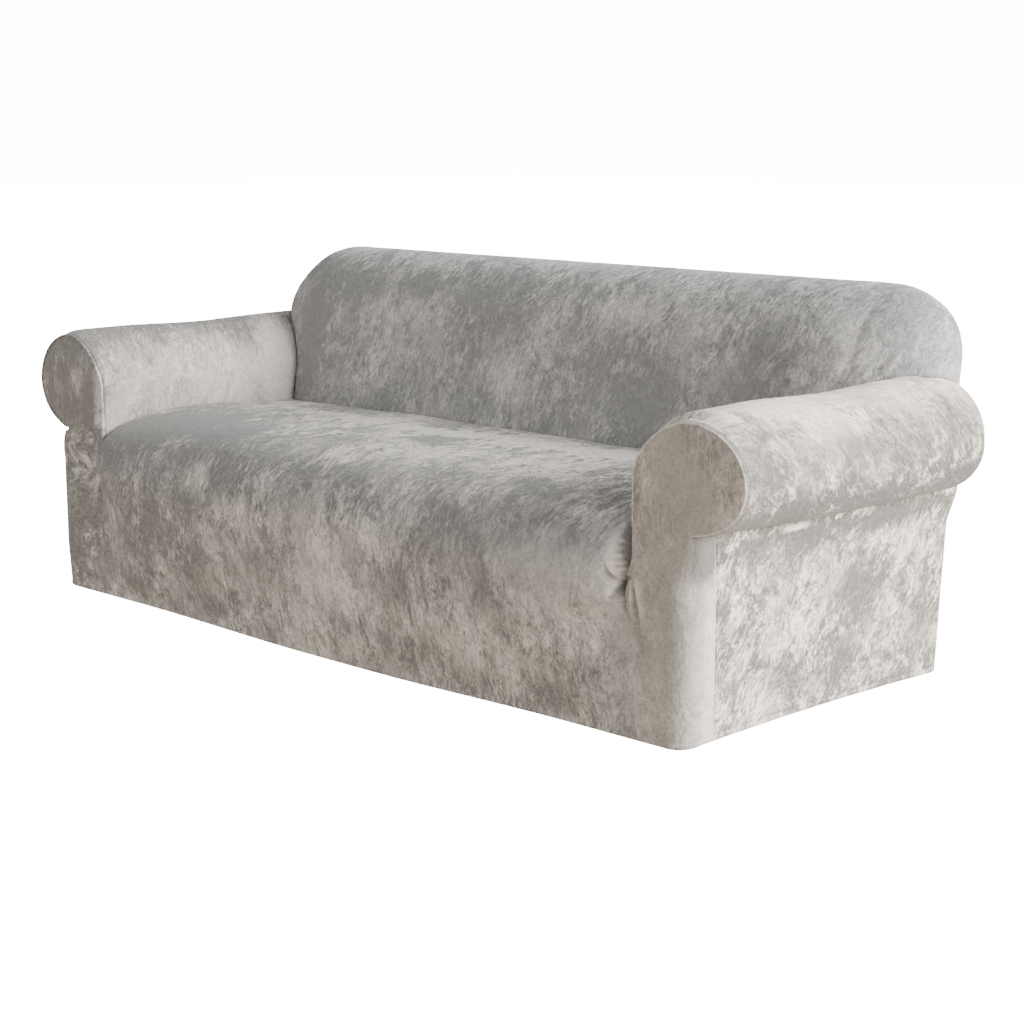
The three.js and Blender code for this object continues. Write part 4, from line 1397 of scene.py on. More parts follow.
@dataclass
class Arm(Panel):
    """Inner arm with its roll, down to the throat underneath."""

    side: int = 1
    swell: float = 15.0
    rounding: float = 0.0
    rounding_reach: float = 60
    swell_start: Pair = (0, 34)
    swell_end: Pair = (160, 430)
    swell_top: Pair = (10, 110)
    swell_under: Pair = (200, 400)
    lip_at: float = 13
    lip_width: float = 9
    lip_run: Pair = (10, 40)
    lip_end: Pair = (640, 760)
    # Painted shade along the throat under the roll: width and tone
    throat_width: float = 22
    throat_shade: float = -0.7

    def weave(self) -> ClothSheet:
        """Gathers the field between scroll front, throat, back crease and seat."""
        form, arm = self.form, self.form.arm
        throat, crease = form.throat, form.crease
        v = np.linspace(0, 1, len(throat.girth))[:, None]
        u = np.linspace(0, 1, len(crease.girth))[None]
        front_y = throat.points[0, 1]
        tuck_y = lerp(front_y, crease.points[0, 1], v)
        clamped = np.clip(tuck_y, 20, form.back.seat_rear)
        tuck_girth = form.seat.height(clamped) - form.seat.tuck - arm.roll_z
        tuck_girth[-1] = crease.girth[0]
        front_girth = lerp(tuck_girth[0, 0], throat.girth[0], u)
        corner = (tuck_girth[0, 0], throat.girth[0], crease.girth[0], crease.girth[-1])
        girth = self.blend(u, v, front_girth, crease.girth, tuck_girth, throat.girth, corner)
        front_along = front_y + 0 * u
        corner = (front_y, front_y, crease.along[0], crease.along[-1])
        along = self.blend(u, v, front_along, crease.along, tuck_y, throat.along, corner)
        grid = arm.point(girth, along)
        from_crease = run_length(grid, 0, from_end=True)
        from_throat = run_length(grid, 1, from_end=True)
        from_front = run_length(grid, 0)
        grid = grid + crease_draw(form)[None] * tucked(from_crease, CREASE_REACH)[..., None]
        grid = grid + drawn_under(grid[..., 1], from_throat)
        calm = smooth(from_crease, 4, 30) * smooth(from_throat, 2, 20) * smooth(from_front, 2, 25)
        relief = self.surface(along, girth, calm) + SCROLL_SEAM.lip(from_front)
        restless = 2.2 + 0.8 * np.sin(along / 19 + 2 * np.sin(along / 47))
        lip = restless * np.exp(-np.square((from_throat - self.lip_at) / self.lip_width))
        lip = lip * smooth(from_front, *self.lip_run) * (1 - smooth(along, *self.lip_end))
        swell = smooth(from_front, *self.swell_start) * (1 - smooth(from_front, *self.swell_end))
        swell = swell * smooth(girth, *self.swell_top) * (1 - smooth(girth, *self.swell_under))
        edge = smooth(np.minimum(run_length(grid, 1), from_throat), 0, self.rounding_reach)
        rounded = self.rounding * edge * tucked(from_front, self.rounding_reach)
        relief = relief + lip + self.swell * swell - rounded
        # Painted shade drawn into the throat under the roll
        shade = seam_line(from_throat, 0, self.throat_width, self.throat_shade)
        pile = self.lie(along, girth).with_shading(shade)
        sheet = ClothSheet(f"{self.node}_cloth", form.stance)
        sheet.patch(grid, along, girth, relief, pile, self.side)
        return sheet

    @staticmethod
    def blend(
        u: Array, v: Array, front: Array, rear: Array, low: Array, high: Array, corner: tuple[float, ...]
    ) -> Array:
        """Values inside a four-sided field from those along its edges.

        Args:
            u: Share of the way from the low to the high edge, as a row.
            v: Share of the way from the front to the rear edge, as a column.
            front: Values along the front edge, as a row.
            rear: Values along the rear edge.
            low: Values along the low edge, as a column.
            high: Values along the high edge.
            corner: Values at low front, high front, low rear and high rear.

        Returns:
            Values over the field.
        """
        across = lerp(front, rear[None], v)
        down = lerp(low, high[:, None], u)
        corners = lerp(lerp(corner[0], corner[1], u), lerp(corner[2], corner[3], u), v)
        return across + down - corners


@dataclass
class OuterSide(Panel):
    """Outer arm below the roll, wrapped round the rear corner."""

    side: int = 1
    rows: int = 62
    top_gap: float = 0.6
    top_tuck: Pair = (2, 4)
    casing_top: float = 22.0
    slack_run: float = 690
    slack_wave: float = 1.3
    slack_rise: Pair = (20, 60)
    slack_fade: Pair = (300, 360)
    lip_rise: Pair = (8, 24)

    def weave(self) -> ClothSheet:
        """Gathers the rows from the hem up to the throat."""
        form = self.form
        stations = form.side_stations()
        top = form.throat.points[-len(stations) :, 2] - self.top_gap
        rows = [form.plan_line(stations, z, inset) for z, inset in HEM_PROFILE]
        for share in eased(self.rows, end=1.5)[1:]:
            rows.append(form.plan_line(stations, lerp(self.casing_top, top, share)))
        grid = np.stack(rows)
        u = run_length(grid[len(HEM_PROFILE) : len(HEM_PROFILE) + 1], 1) + form.body.side_seam_y
        u = np.broadcast_to(u, grid.shape[:2])
        z = grid[..., 2].copy()
        on_side = np.clip((grid[..., 1] - form.body.side_seam_y) / self.slack_run, 0, 1)
        share = np.sin(math.pi * on_side) * smooth(z, *self.slack_rise) * (1 - smooth(z, *self.slack_fade))
        grid[..., 0] += uneven(grid[..., 1] * self.slack_wave, z, share)
        from_top = run_length(grid, 0, from_end=True)
        grid = grid + drawn_under(grid[..., 1], from_top)
        depth, reach = self.top_tuck
        grid[..., 2] += depth * tucked(from_top, reach)
        from_seam = run_length(grid, 1)
        from_rear = run_length(grid, 1, from_end=True)
        lip = SIDE_SEAM_BEHIND.lip(from_seam) + REAR_SEAM.lip(from_rear)
        calm = smooth(from_top, 3, 30) * smooth(from_seam, 2, 20) * smooth(from_rear, 2, 20)
        relief = self.surface(u, z, calm) + lip * smooth(z, *self.lip_rise) + hem_pucker(u, z)
        sheet = ClothSheet(f"{self.node}_cloth", form.stance)
        sheet.patch(grid, u, z, relief, self.lie(u, z), self.side)
        return sheet


@dataclass
class ArmFront(Panel):
    """Scroll front with the post under it, wrapped on to the side."""

    side: int = 1
    rim_steps: int = 14
    field_steps: int = 22
    wrap_steps: int = 14
    rows: int = 66
    scroll_steps: int = 130
    rings: int = 16
    casing_top: float = 22.0
    ring_centre: Triple = (-20, 0, -15)
    puff: float = 4.0
    rounding: float = 0.0
    rounding_reach: float = 60
    puff_rise: float = 110
    piping: float = 1.0
    # Painted shadow beside the piping and painted highlight on its cord: place, width and tone
    piping_shadow: Triple = (3.5, 4.0, -1.2)
    piping_highlight: Triple = (9.8, 1.3, 1.6)
    piping_width: float = 1.5
    # Painted highlight along the side seam's ridge: place, width and tone
    seam_highlight: Triple = (2.6, 2.4, 1.2)
    seam_rise: Pair = (60, 330)
    # Painted shade round the front corner under the roll: tone, and where it sets in and fades
    corner_painted_shade: float = -2.6
    corner_dark: Pair = (950, 1000)
    corner_fade: Pair = (1000, 1034)
    corner_drop: Pair = (15, 120)
    rim_square: float = 0.45
    rim_gap: float = 0.6
    pleat_depth: float = 12
    lip_rise: Pair = (8, 24)
    calm_rise: Pair = (20, 50)
    calm_drop: float = 60

    def rim(self) -> tuple[Array, Array, Array]:
        """Steps over the rounded edge: part of the corner's turn, inset and how far behind."""
        share = 1 - eased(self.rim_steps, start=1.3)
        part = self.form.rim_end * share
        turn = share * math.pi / 2
        rim = self.form.arm.rim
        inset = rim * (1 - np.sin(turn) ** self.rim_square)
        return part, inset, (rim - self.rim_gap) * (1 - np.cos(turn) ** self.rim_square)

    def corner_shade(self, u: Array, below: Array) -> Array:
        """Painted shade round the front corner, by cloth coordinate and depth below the throat."""
        across = smooth(u, *self.corner_dark) * (2 - smooth(u, *self.corner_fade)) / 2
        return self.corner_painted_shade * across * (1 - smooth(below, *self.corner_drop))

    def post_row(self, z: float, inset: float) -> Array:
        """One row of the post, from the inner seam round to the side seam."""
        form, seat, body = self.form, self.form.seat, self.form.body
        rounded = float(smooth(z, seat.plain_z, seat.gather_z))
        edge = float(seat.front_seam_x(z)) + HALF_GAP * min(1.0, 5 * rounded)
        part, rim_in, behind = self.rim()
        rim = places(edge + rim_in, inset + behind * rounded, z)
        start = float(body.plan(Run.FRONT_CORNER, 0.0, z, inset)[0])
        inner = np.linspace(edge + rim_in[-1], start, self.field_steps + 1)[1:-1]
        flat = places(inner, inset, z)
        corner_parts = [*part[::-1], *np.linspace(form.rim_end, 1, CORNER_STATIONS)[1:]]
        stations = [(Run.FRONT_CORNER, float(p)) for p in corner_parts]
        stations += [(Run.WRAP, float(p)) for p in np.linspace(0, 1, self.wrap_steps + 1)[1:]]
        return np.concatenate([rim, flat, form.plan_line(stations, z, inset)])

    def strip(self, top: Array, throat: float) -> Array:
        """The rounded rim of the scroll.

        Args:
            top: Top row of the post, which the rim starts and ends on.
            throat: Height of that row.

        Returns:
            Points, steps round the scroll by steps over its edge.
        """
        arm = self.form.arm
        part, rim_in, behind = self.rim()
        count, joined = len(part), len(part) + self.field_steps - 1
        girths = np.linspace(throat - arm.roll_z, self.form.throat.girth[0], self.scroll_steps + 1)[1:-1]
        edge = arm.point(girths, np.zeros_like(girths))
        ahead = unit(arm.point(girths + 0.5, np.zeros_like(girths)) - edge)
        strip = places(
            edge[:, None, 0] + ahead[:, None, 2] * rim_in,
            behind[None] + 0 * edge[:, None, 0],
            edge[:, None, 2] - ahead[:, None, 0] * rim_in,
        )
        return np.concatenate([top[None, :count], strip, top[joined : joined + count][None, ::-1]])

    def lay_post(self, sheet: ClothSheet, post: Array, throat: float) -> None:
        """Adds the post with its pleats, drawn in under the roll."""
        u = run_length(post[len(HEM_PROFILE) : len(HEM_PROFILE) + 1], 1) + post[len(HEM_PROFILE), 0, 0]
        u = np.broadcast_to(u, post.shape[:2])
        z = post[..., 2].copy()
        pleats = gathered(post[..., 0], z) * (post[..., 1] < self.pleat_depth)
        post = post - places(0, pleats, 0)
        post = post + drawn_under(post[..., 1], run_length(post, 0, from_end=True))
        from_seam = run_length(post, 1, from_end=True)
        above = smooth(z, self.form.seat.plain_z, self.form.seat.gather_z)
        lip = SIDE_SEAM.lip(from_seam) * smooth(z, *self.lip_rise)
        lip = lip + POST_SEAM.lip(run_length(post, 1)) * above
        calm = smooth(from_seam, 2, 25) * smooth(z, *self.calm_rise)
        calm = calm * (1 - smooth(z, throat - self.calm_drop, throat))
        relief = self.surface(u, z, calm) + lip + hem_pucker(u, z)
        u = self.side * u
        # Painted highlight along the side seam, and painted shade in the pleats and round the front corner
        pile = self.lie(u, z).with_shading(seam_line(from_seam, *self.seam_highlight) * smooth(z, *self.seam_rise))
        pile = pile.with_shading(PLEAT_SHADE * pleats + self.corner_shade(self.side * u, throat - z))
        sheet.patch(post, u, z, relief, pile, self.side)

    def lay_scroll(self, sheet: ClothSheet, top: Array, throat: float) -> None:
        """Adds the rim of the scroll with its piping and its painted shadow and highlight, and the field
        inside it in rings.
        """
        arm, strip = self.form.arm, self.strip(top, throat)
        rim = run_length(strip, 1)
        ends = np.minimum(run_length(strip, 0), run_length(strip, 0, from_end=True))
        soft = self.rounding * smooth(ends, 0, self.rounding_reach)
        across = self.side * strip[..., 0]
        # Painted shadow beside the piping and painted highlight on its cord
        piping = seam_line(rim, *self.piping_shadow) + seam_line(rim, *self.piping_highlight)
        pile = self.lie(across, strip[..., 2]).with_shading(self.piping * piping)
        relief = seam_line(rim, self.piping_highlight[0], self.piping_width, self.piping) - soft
        sheet.patch(strip, across, strip[..., 2], relief, pile, self.side)

        count = self.rim_steps + 1
        under = top[count - 1 : count + self.field_steps - 1]
        loop = np.concatenate([under, strip[::-1, -1]])
        centre = np.array([arm.roll_x, 0, arm.roll_z]) + np.array(self.ring_centre)
        sizes = 1 - eased(self.rings)
        rings = centre + (loop[None] - centre) * sizes[:, None, None]
        swell = self.puff * (1 - sizes**2)[:, None] * smooth(rings[..., 2], throat, throat + self.puff_rise)
        soft = np.concatenate([np.zeros(len(under)), soft[::-1, -1]])
        swell = swell - soft * tucked(run_length(rings, 0), self.rounding_reach)
        calm = smooth(1 - sizes, 0, 0.2)[:, None] + 0 * swell
        relief = swell + ripple(rings[..., 0], rings[..., 2]) * calm
        across = self.side * rings[..., 0]
        sheet.patch(rings, across, rings[..., 2], relief, self.lie(across, rings[..., 2]), self.side)

    def weave(self) -> ClothSheet:
        """Gathers the post, the rim of the scroll and the field inside it."""
        throat = float(self.form.throat.points[0, 2])
        levels = lerp(self.casing_top, throat, eased(self.rows, end=1.3)[1:])
        rows = [self.post_row(z, inset) for z, inset in HEM_PROFILE]
        post = np.stack(rows + [self.post_row(float(z), 0.0) for z in levels])
        sheet = ClothSheet(f"{self.node}_cloth", self.form.stance)
        self.lay_post(sheet, post, throat)
        self.lay_scroll(sheet, post[-1], throat)
        return sheet


@dataclass(frozen=True)
class Softbox:
    """A square soft light aimed at the middle of the cover, in metres and watts."""

    name: str
    at: Triple
    size: float
    watts: float
    tint: Triple
    aim: Triple = (0, 0, 0.35)

    def build(self) -> None:
        """Adds the light."""
        data = bpy.data.lights.new(self.name, "AREA")
        data.size = self.size
        data.energy = self.watts
        data.color = self.tint
        lamp = bpy.data.objects.new(self.name, data)
        lamp.location = self.at
        lamp.rotation_mode = "QUATERNION"
        lamp.rotation_quaternion = (Vector(self.aim) - Vector(self.at)).to_track_quat("-Z", "Y")
        bpy.context.scene.collection.objects.link(lamp)


SOFTBOXES = (
    Softbox("right_softbox", (8.2, 2.2, 3.1), 5.2, 2450, (1.0, 0.99, 0.975)),
    Softbox("front_softbox", (-1.6, -7.0, 2.2), 4.0, 160, (1.0, 0.98, 0.95)),
)


@dataclass(frozen=True)
class Studio:
    """Camera, soft lights and a pale floor under the cover."""

    lens: float = 75.22
    azimuth: float = 45.12
    elevation: float = 10.73
    camera_at: Triple = (3.3894, -3.2569, 1.1605)
    floor_z: float = -0.045
    floor_size: float = 50
    white: float = 19.0
    ambient: float = 0.47
    from_below: Triple = (1.36, 1.1, 0.82)
    from_above: Triple = (0.97, 0.99, 1.0)
    horizon: float = 0.25

    def camera(self) -> None:
        """Sets the camera up at the photograph's angle."""
        data = bpy.data.cameras.new("camera")
        data.lens = self.lens
        data.sensor_width = 36
        data.clip_end = 60
        camera = bpy.data.objects.new("camera", data)
        a, e = math.radians(self.azimuth), math.radians(self.elevation)
        back = Vector((math.sin(a) * math.cos(e), -math.cos(a) * math.cos(e), math.sin(e)))
        camera.location = self.camera_at
        camera.rotation_mode = "QUATERNION"
        camera.rotation_quaternion = (-back).to_track_quat("-Z", "Y")
        bpy.context.scene.collection.objects.link(camera)
        bpy.context.scene.camera = camera

    def floor(self) -> None:
        """Lays the pale floor, as bright as the room behind it."""
        bpy.ops.object.select_all(action="DESELECT")
        bpy.ops.mesh.primitive_plane_add(size=self.floor_size, location=(0, 0, self.floor_z))
        ground = bpy.context.active_object
        ground.name = "floor"
        material = bpy.data.materials.new("pale_floor")
        material.use_nodes = True
        inputs = {
            "Base Color": (0.8, 0.8, 0.8, 1),
            "Roughness": 0.9,
            "Emission Color": (1, 1, 1, 1),
            "Emission Strength": self.white,
        }
        net = NodeNet(material.node_tree)
        shader = net.add("BsdfPrincipled", inputs)
        net.add("OutputMaterial", {"Surface": shader.outputs["BSDF"]})
        ground.data.materials.append(material)
        for ray in ("diffuse", "glossy", "transmission", "shadow"):
            setattr(ground, f"visible_{ray}", False)

    def surroundings(self) -> None:
        """Gives the white room its even light."""
        world = bpy.data.worlds.new("white_room")
        world.use_nodes = True
        net = NodeNet(world.node_tree)
        place = net.add("TexCoord", {}).outputs["Generated"]
        height = net.add("SeparateXYZ", {"Vector": place}).outputs["Z"]
        limits = {"Value": height, "From Min": -self.horizon, "From Max": self.horizon}
        rise = net.add("MapRange", limits).outputs["Result"]
        inputs = {"Factor": rise, "A": (*self.from_below, 1), "B": (*self.from_above, 1)}
        tint = net.add("Mix", inputs, data_type="RGBA").outputs["Result"]
        even = net.add("Background", {"Color": tint, "Strength": self.ambient})
        bright = net.add("Background", {"Strength": self.white})
        seen = net.add("LightPath", {}).outputs["Is Camera Ray"]
        mix = net.add("MixShader", {0: seen, 1: even.outputs[0], 2: bright.outputs[0]})
        net.add("OutputWorld", {"Surface": mix.outputs["Shader"]})
        bpy.context.scene.world = world

    def build(self) -> None:
        """Sets up the lights, the floor and the room."""
        for softbox in SOFTBOXES:
            softbox.build()
        self.floor()
        self.surroundings()


def shade_of(level: float, warmth: float) -> Triple:
    """A grey of the pile at a level of lightness, warmer with more warmth."""
    return level * (1 + warmth), level, level * (1 - warmth)


def tone_spots(*rows: tuple[float, ...]) -> tuple[ToneSpot, ...]:
    """Tone spots from rows of place, half sizes, tone and lean."""
    return tuple(ToneSpot(*row) for row in rows)


# Pile tone of the seat and apron, with painted shade in the crevice beside the right arm
SEAT_PILE_AND_SHADE = tone_spots(
    (0, 200, 1500, 200, -0.3),
    (0, 720, 1500, 230, -0.6),
    (-600, 440, 230, 90, -0.8),
    (-690, 495, 130, 60, -1.2),
    (-460, 800, 150, 40, 0.7),
    (-50, 768, 150, 45, 0.8),
    (450, 850, 300, 60, 1.0),
    (560, 570, 190, 80, 0.5),
    (-500, 380, 250, 60, -0.25),
    (840, 430, 26, 45, -0.9),
    (-90, 360, 70, 55, -0.5),
    (-420, 190, 32, 100, -0.5),
    (-650, 360, 50, 60, -0.6),
    (-20, 425, 170, 45, -1.0),
    (350, 700, 260, 110, 0.5),
    (-300, 790, 400, 50, 0.4),
    (250, 830, 560, 60, 0.5),
    (120, 590, 130, 60, 0.9),
    (-300, 600, 90, 80, 0.7),
    (500, 640, 160, 50, 0.7),
    (-560, 640, 190, 130, -0.6),
    (-560, 860, 200, 70, -0.4),
    (-120, 560, 60, 60, -0.4),
    (340, 555, 60, 45, 0.8),
    (600, 500, 190, 45, -0.5),
    (670, 445, 90, 28, 0.5),
    (770, 560, 90, 80, -0.6),
    (560, 400, 260, 40, -0.2),
    # Painted shade in the crevice beside the right arm, and painted light on the seat's cheek before it
    (850, 450, 30, 60, -1.4),
    (848, 375, 16, 45, -1.3),
    (812, 385, 20, 45, 1.0),
    (-410, 370, 45, 60, 1.0, 10),
    (-650, 330, 50, 70, 0.4, 10),
    (-560, 420, 50, 50, 0.4, 15),
    (-270, 270, 45, 60, 0.6, 10),
    (-740, 210, 55, 60, 0.1),
    (-770, 370, 60, 60, -0.6),
    (-560, 250, 45, 70, -0.6),
    (-455, 272, 45, 45, -0.8),
    (-345, 213, 45, 45, 0.4),
    (-560, 104, 60, 40, 0.5),
    (-735, 60, 90, 40, -0.6),
    (-480, 140, 60, 80, -0.6),
    (-360, 150, 45, 60, -0.3),
    (-390, 45, 90, 35, -0.6),
    (-208, 290, 40, 60, 0.5),
    (-250, 120, 55, 50, 0.4),
    (30, 260, 70, 60, 0.9),
    (60, 160, 110, 60, 0.8),
    (150, 295, 120, 35, 0.2),
    (480, 440, 300, 50, 0.3),
    (225, 175, 55, 45, -0.4),
    (185, 72, 50, 45, -0.8),
    (300, 70, 70, 35, -0.5),
    (320, 250, 50, 50, -0.1),
    (440, 340, 110, 45, -0.5),
    (596, 302, 60, 45, 0.3),
    (500, 230, 40, 45, -0.7),
    (430, 110, 70, 60, 0.4),
    (550, 85, 60, 42, 0.7),
    (590, 200, 60, 60, 0.3),
    (430, 35, 60, 30, -0.5),
    (730, 280, 100, 90, 0.3),
    (760, 130, 110, 80, 0.15),
    (-760, 480, 70, 45, -0.6),
    (-620, 515, 80, 40, -0.5),
    (800, 460, 40, 60, -0.5),
    (-253, 338, 60, 35, -0.5),
    (785, 265, 25, 45, -0.3),
    (655, 35, 50, 30, -0.4),
    (-488, 829, 150, 35, 0.5),
    (-44, 800, 130, 40, 0.5),
    (265, 803, 180, 40, 0.5),
    (200, 273, 50, 45, 0.4),
    (661, 112, 40, 40, 0.5),
    (575, 38, 40, 25, 0.5),
    (695, 497, 60, 30, 0.5),
)
# Pile tone of the right front, with painted shade along the scroll's inner edge
FRONT_PILE_AND_SHADE = tone_spots(
    (930, 250, 110, 260, -0.2),
    (1052, 130, 46, 190, 1.8),
    # Painted shade along the inner edge of the right scroll front
    (845, 480, 12, 90, -0.7),
    (900, 530, 110, 110, -0.15),
)
DECK_CALMINGS = tone_spots(
    (0, 740, 2500, 210, -1.1),
    (580, 325, 250, 80, 0.6),
)
FRONT_CALMINGS = tone_spots(
    (950, 350, 150, 500, 0.82),
)
LEFT_FRONT_CALMINGS = tone_spots(
    (-960, 500, 120, 100, 0.35),
)
# Pile tone of the left front, with painted shade and highlight across its rounded inner edge
LEFT_FRONT_PILE_AND_SHADE = tone_spots(
    (-950, 500, 120, 160, -0.8),
    (-1060, 500, 35, 90, -0.8),
    (-935, 515, 30, 35, 0.9),
    # Painted shade and highlight across the rounded inner edge of the left scroll front
    (-885, 480, 22, 80, -0.5),
    (-850, 480, 18, 90, 0.9),
    (-836, 340, 9, 70, 0.9),
    (-860, 330, 6, 60, -1.0),
    (-930, 250, 90, 250, -0.5),
    (-875, 215, 50, 70, -0.4),
    (-960, 120, 50, 70, -0.3),
)
# Pile tone of the inside back, with painted highlights along the fold ridges at its right end
BACK_PILE_AND_HIGHLIGHTS = tone_spots(
    (0, 560, 1500, 260, -0.35),
    (0, 840, 1000, 45, 0.25),
    (-690, 770, 130, 60, -1.0),
    (-395, 760, 75, 55, -1.6),
    (-785, 570, 42, 130, -1.2),
    (-800, 640, 45, 50, -0.6),
    (-620, 725, 90, 35, -0.5),
    (-395, 525, 50, 45, 0.5),
    (907, 724, 40, 40, -0.4),
    (-640, 660, 90, 80, -0.5),
    (-690, 640, 35, 60, 0.4),
    (-520, 585, 80, 85, 0.8),
    (-440, 680, 100, 40, 0.5),
    (-210, 700, 80, 90, -0.7),
    (-75, 550, 50, 60, 1.0),
    (-560, 490, 150, 50, 0.3),
    (-250, 500, 90, 50, -0.5),
    (20, 660, 60, 45, 0.5),
    (253, 710, 90, 60, 1.1),
    (425, 755, 70, 50, -0.5),
    (663, 768, 60, 40, 0.8),
    (430, 560, 230, 90, -0.3),
    (540, 635, 60, 60, 0.4),
    (800, 660, 40, 80, 0.4, -20),
    (872, 670, 30, 45, 0.8, -20),
    (950, 800, 70, 60, -1.2),
    (825, 812, 90, 45, -0.7),
    (975, 690, 35, 60, -0.5),
    (-610, 735, 70, 35, -0.4),
    (103, 756, 60, 40, -0.4),
    (820, 654, 30, 40, -0.4),
    (430, 500, 160, 40, -0.4),
    (51, 459, 200, 25, -0.3),
    (901, 649, 25, 40, 0.5),
    # Painted highlights along the ridges of the folds at the right end of the back
    (938, 640, 45, 6, 0.9, 55),
    (829, 622, 40, 7, 0.7, 62),
)
BACK_CALMINGS = tone_spots(
    (0, 830, 1500, 90, -0.8),
)
BACK_FOLDS = (
    Fold((960, 672), (916, 608), 8, 3.2),
    Fold((938, 668), (898, 612), 8, -2.4),
    Fold((846, 655), (812, 590), 9, 2.6),
    Fold((868, 655), (836, 596), 9, -2.2),
)
SIDE_FOLDS = (
    Fold((150, 248), (570, 187), 11, 2.6, 4, 0.5),
    Fold((180, 226), (540, 168), 13, -2.0, 4, 0.5),
)
# Pile tone of the right arm's roll, with painted shade on its underside
ROLL_PILE_AND_SHADE = tone_spots(
    (400, 280, 900, 300, -0.15),
    (400, 400, 900, 90, -0.25),
    (300, 170, 400, 60, 0.5),
    (250, 235, 200, 55, 0.7),
    (600, 240, 150, 55, 0.7),
    (480, 354, 80, 40, -0.5),
    (680, 290, 60, 60, -0.2),
    (280, 290, 80, 40, 0.5),
    (330, 335, 70, 40, -0.5),
    (70, 350, 60, 70, -0.4),
    (150, 372, 50, 40, -0.1),
    (430, 395, 60, 30, 0.4),
    (620, 370, 90, 50, -0.4),
    # Painted shade on the underside of the roll
    (400, 490, 700, 65, -0.9),
    (800, 250, 80, 100, 0.4),
    (142, 228, 60, 40, 0.4),
)
# Pile tone of the left arm, with painted light at the rear of its inner face
LEFT_ARM_PILE_AND_PAINTED_LIGHT = tone_spots(
    (300, 30, 400, 90, 0.3),
    # Painted light at the rear of the inner face, by the back, where the crease shades it
    (565, 20, 70, 150, 1.8),
    (0, 40, 14, 300, -0.8),
    (300, 210, 300, 60, -1.6),
    (150, 95, 120, 40, -0.4),
    (470, 130, 50, 60, -0.5),
    (0, 100, 60, 130, -0.4),
    (500, 110, 50, 50, -0.5),
)
ROLL_CALMINGS = tone_spots(
    (400, 440, 900, 60, -0.5),
    (400, 290, 900, 70, 0.2),
)
LEFT_ARM_CALMINGS = tone_spots(
    (300, 180, 600, 100, -1.0),
)
# Pile tone of the right side, with painted shade under the roll
SIDE_PILE_AND_SHADE = tone_spots(
    (450, 200, 900, 400, -0.35),
    (293, 381, 45, 5, 1.0),
    (293, 371, 45, 4, -0.8),
    # Painted shade under the roll
    (560, 372, 160, 24, -1.1),
    (290, 325, 60, 35, -0.4),
    (330, 240, 50, 30, -0.4),
    (660, 190, 40, 60, -0.4),
    (560, 310, 50, 40, 0.4),
    (200, 300, 50, 40, -0.3),
    (180, 284, 35, 35, 0.5),
    (130, 235, 45, 50, 0.6),
    (100, 255, 18, 45, -0.7),
    (360, 270, 80, 60, 0.8),
    # Painted shade under the roll
    (330, 365, 260, 22, -0.6),
    (680, 300, 80, 50, 0.6),
    (530, 225, 55, 75, -0.8, -30),
    (345, 165, 60, 35, 0.5),
    (420, 140, 50, 35, -0.5),
    (300, 110, 60, 35, -0.5),
    (720, 160, 50, 60, -0.4),
    (447, 77, 45, 40, -0.6),
    (141, 71, 40, 40, -0.6),
    (240, 180, 70, 50, 0.6),
    (200, 40, 70, 30, 0.5),
    (537, 285, 45, 35, 0.4),
    (332, 116, 50, 35, 0.4),
    (715, 62, 40, 40, -0.5),
)


# Flat sizes of the panels before they are sewn, in metres, and the share of one that is cloth
SEAT_CUT = (1.72, 1.05)
BACK_CUT = (2.2, 0.78)
REAR_CUT = (1.76, 0.68)
ARM_CUT = (0.86, 0.64)
SIDE_CUT = (0.82, 0.42)
FRONT_CUT = (0.38, 0.6)
FRONT_SHARE = 0.8


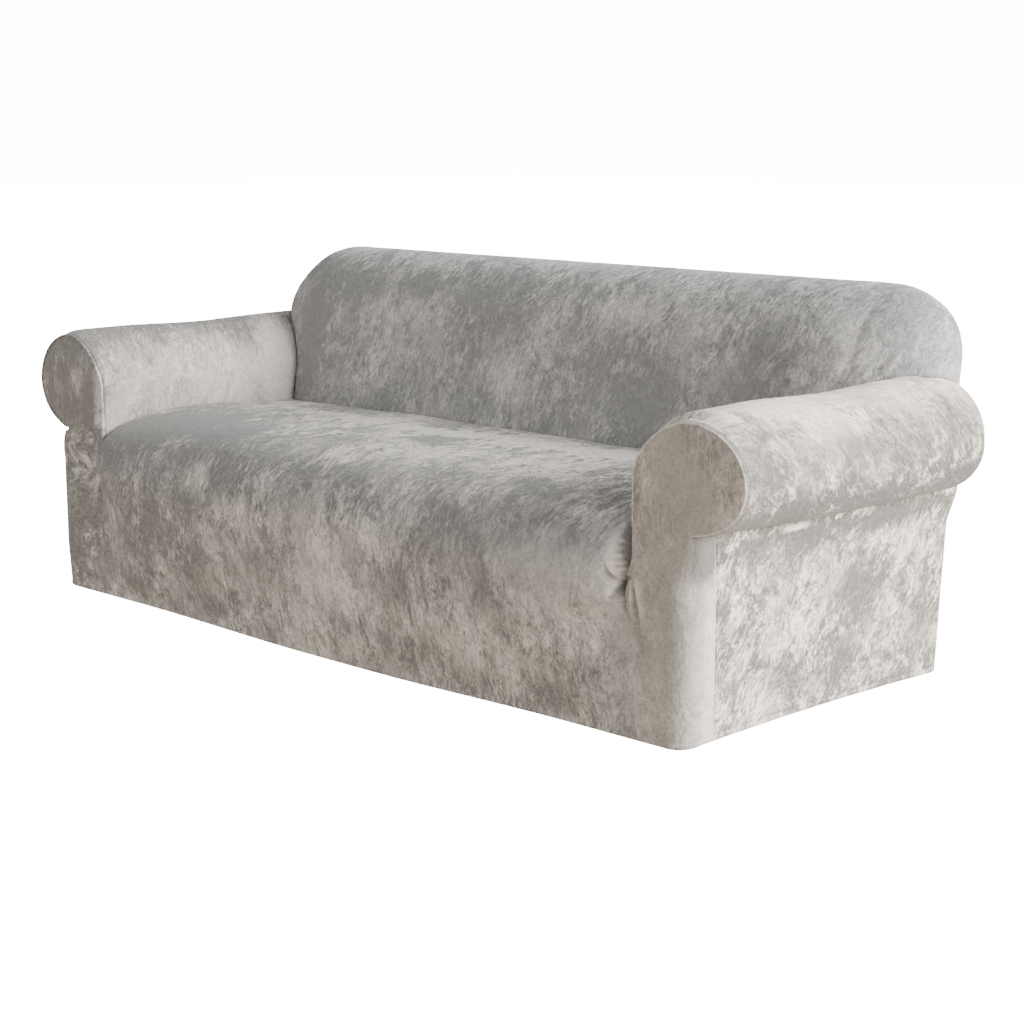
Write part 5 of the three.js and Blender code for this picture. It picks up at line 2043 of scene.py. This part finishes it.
def sewn_panels(form: CoverForm) -> list[Panel]:
    """The panels of the cover, each with its velvet, cut, folds, and spots of pile tone and painted shade.

    Args:
        form: The forms that the panels share.

    Returns:
        The panels.
    """
    # Painted light: lit and shaded copies of one velvet, with the lightest, warmest light tones on the
    # right arm and side, where the key light falls
    seat = {"dark": shade_of(0.22, 0.025), "light": shade_of(0.68, 0.07), "seed": 3.1}
    back = {"dark": shade_of(0.26, 0.01), "light": shade_of(0.58, 0.03), "lean": -15}
    rear = {"dark": shade_of(0.25, 0.03), "light": shade_of(0.6, 0.04)}
    arm_right = {"dark": shade_of(0.2, 0.07), "light": shade_of(0.86, 0.13), "lean": -40}
    arm_left = {"dark": shade_of(0.24, 0.05), "light": shade_of(0.66, 0.06), "lean": -20}
    side_right = {"dark": shade_of(0.2, 0.09), "light": shade_of(0.86, 0.14), "lean": -30}
    side_left = {"dark": shade_of(0.22, 0.04), "light": shade_of(0.7, 0.06), "lean": -30}
    front_right = {"dark": shade_of(0.23, 0.06), "light": shade_of(0.68, 0.1)}
    return [
        SeatFront(
            form,
            "seat_front",
            Velvet("velvet_seat", **seat),
            SEAT_CUT,
            tones_and_shading=SEAT_PILE_AND_SHADE + FRONT_PILE_AND_SHADE + LEFT_FRONT_PILE_AND_SHADE,
            calmings=FRONT_CALMINGS + DECK_CALMINGS,
            crush=0.8,
        ),
        InsideBack(
            form,
            "inside_back",
            Velvet("velvet_back", **back, seed=7.7),
            BACK_CUT,
            tones_and_shading=BACK_PILE_AND_HIGHLIGHTS,
            calmings=BACK_CALMINGS,
            folds=BACK_FOLDS,
            crush=0.75,
        ),
        OutsideBack(
            form,
            "outside_back",
            Velvet("velvet_rear", **rear, seed=12.3),
            REAR_CUT,
        ),
        Arm(
            form,
            "arm_right",
            Velvet("velvet_arm_right", **arm_right, seed=25.0, patches=6.5, clouding=2.4),
            ARM_CUT,
            tones_and_shading=ROLL_PILE_AND_SHADE,
            calmings=ROLL_CALMINGS,
            crush=0.8,
        ),
        Arm(
            form,
            "arm_left",
            Velvet("velvet_arm_left", **arm_left, seed=15.0),
            ARM_CUT,
            tones_and_shading=LEFT_ARM_PILE_AND_PAINTED_LIGHT,
            calmings=LEFT_ARM_CALMINGS,
            crush=0.5,
            side=-1,
            swell=5.0,
            rounding=7.0,
        ),
        OuterSide(
            form,
            "side_right",
            Velvet("velvet_side_right", **side_right, drawn=1.6, seed=26.0, patches=8.0, clouding=2.8),
            SIDE_CUT,
            tones_and_shading=SIDE_PILE_AND_SHADE,
            crush=1.15,
            hem_shading=0.4,
            folds=SIDE_FOLDS,
        ),
        OuterSide(
            form,
            "side_left",
            Velvet("velvet_side_left", **side_left, drawn=1.6, seed=16.0),
            SIDE_CUT,
            side=-1,
        ),
        ArmFront(
            form,
            "arm_front_right",
            Velvet("velvet_front_right", **front_right, seed=3.1),
            FRONT_CUT,
            FRONT_SHARE,
            tones_and_shading=FRONT_PILE_AND_SHADE,
            calmings=FRONT_CALMINGS,
        ),
        ArmFront(
            form,
            "arm_front_left",
            Velvet("velvet_front_left", **seat),
            FRONT_CUT,
            FRONT_SHARE,
            tones_and_shading=LEFT_FRONT_PILE_AND_SHADE,
            calmings=LEFT_FRONT_CALMINGS,
            crush=0.85,
            side=-1,
            rounding=7.0,
            piping=0.0,
        ),
    ]


def main() -> None:
    """Builds the studio and every panel."""
    logging.basicConfig(level=logging.INFO, format="%(message)s")
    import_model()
    studio = Studio()
    studio.camera()
    for panel in sewn_panels(CoverForm()):
        panel.build()

    studio.build()


if __name__ == "__main__":
    main()
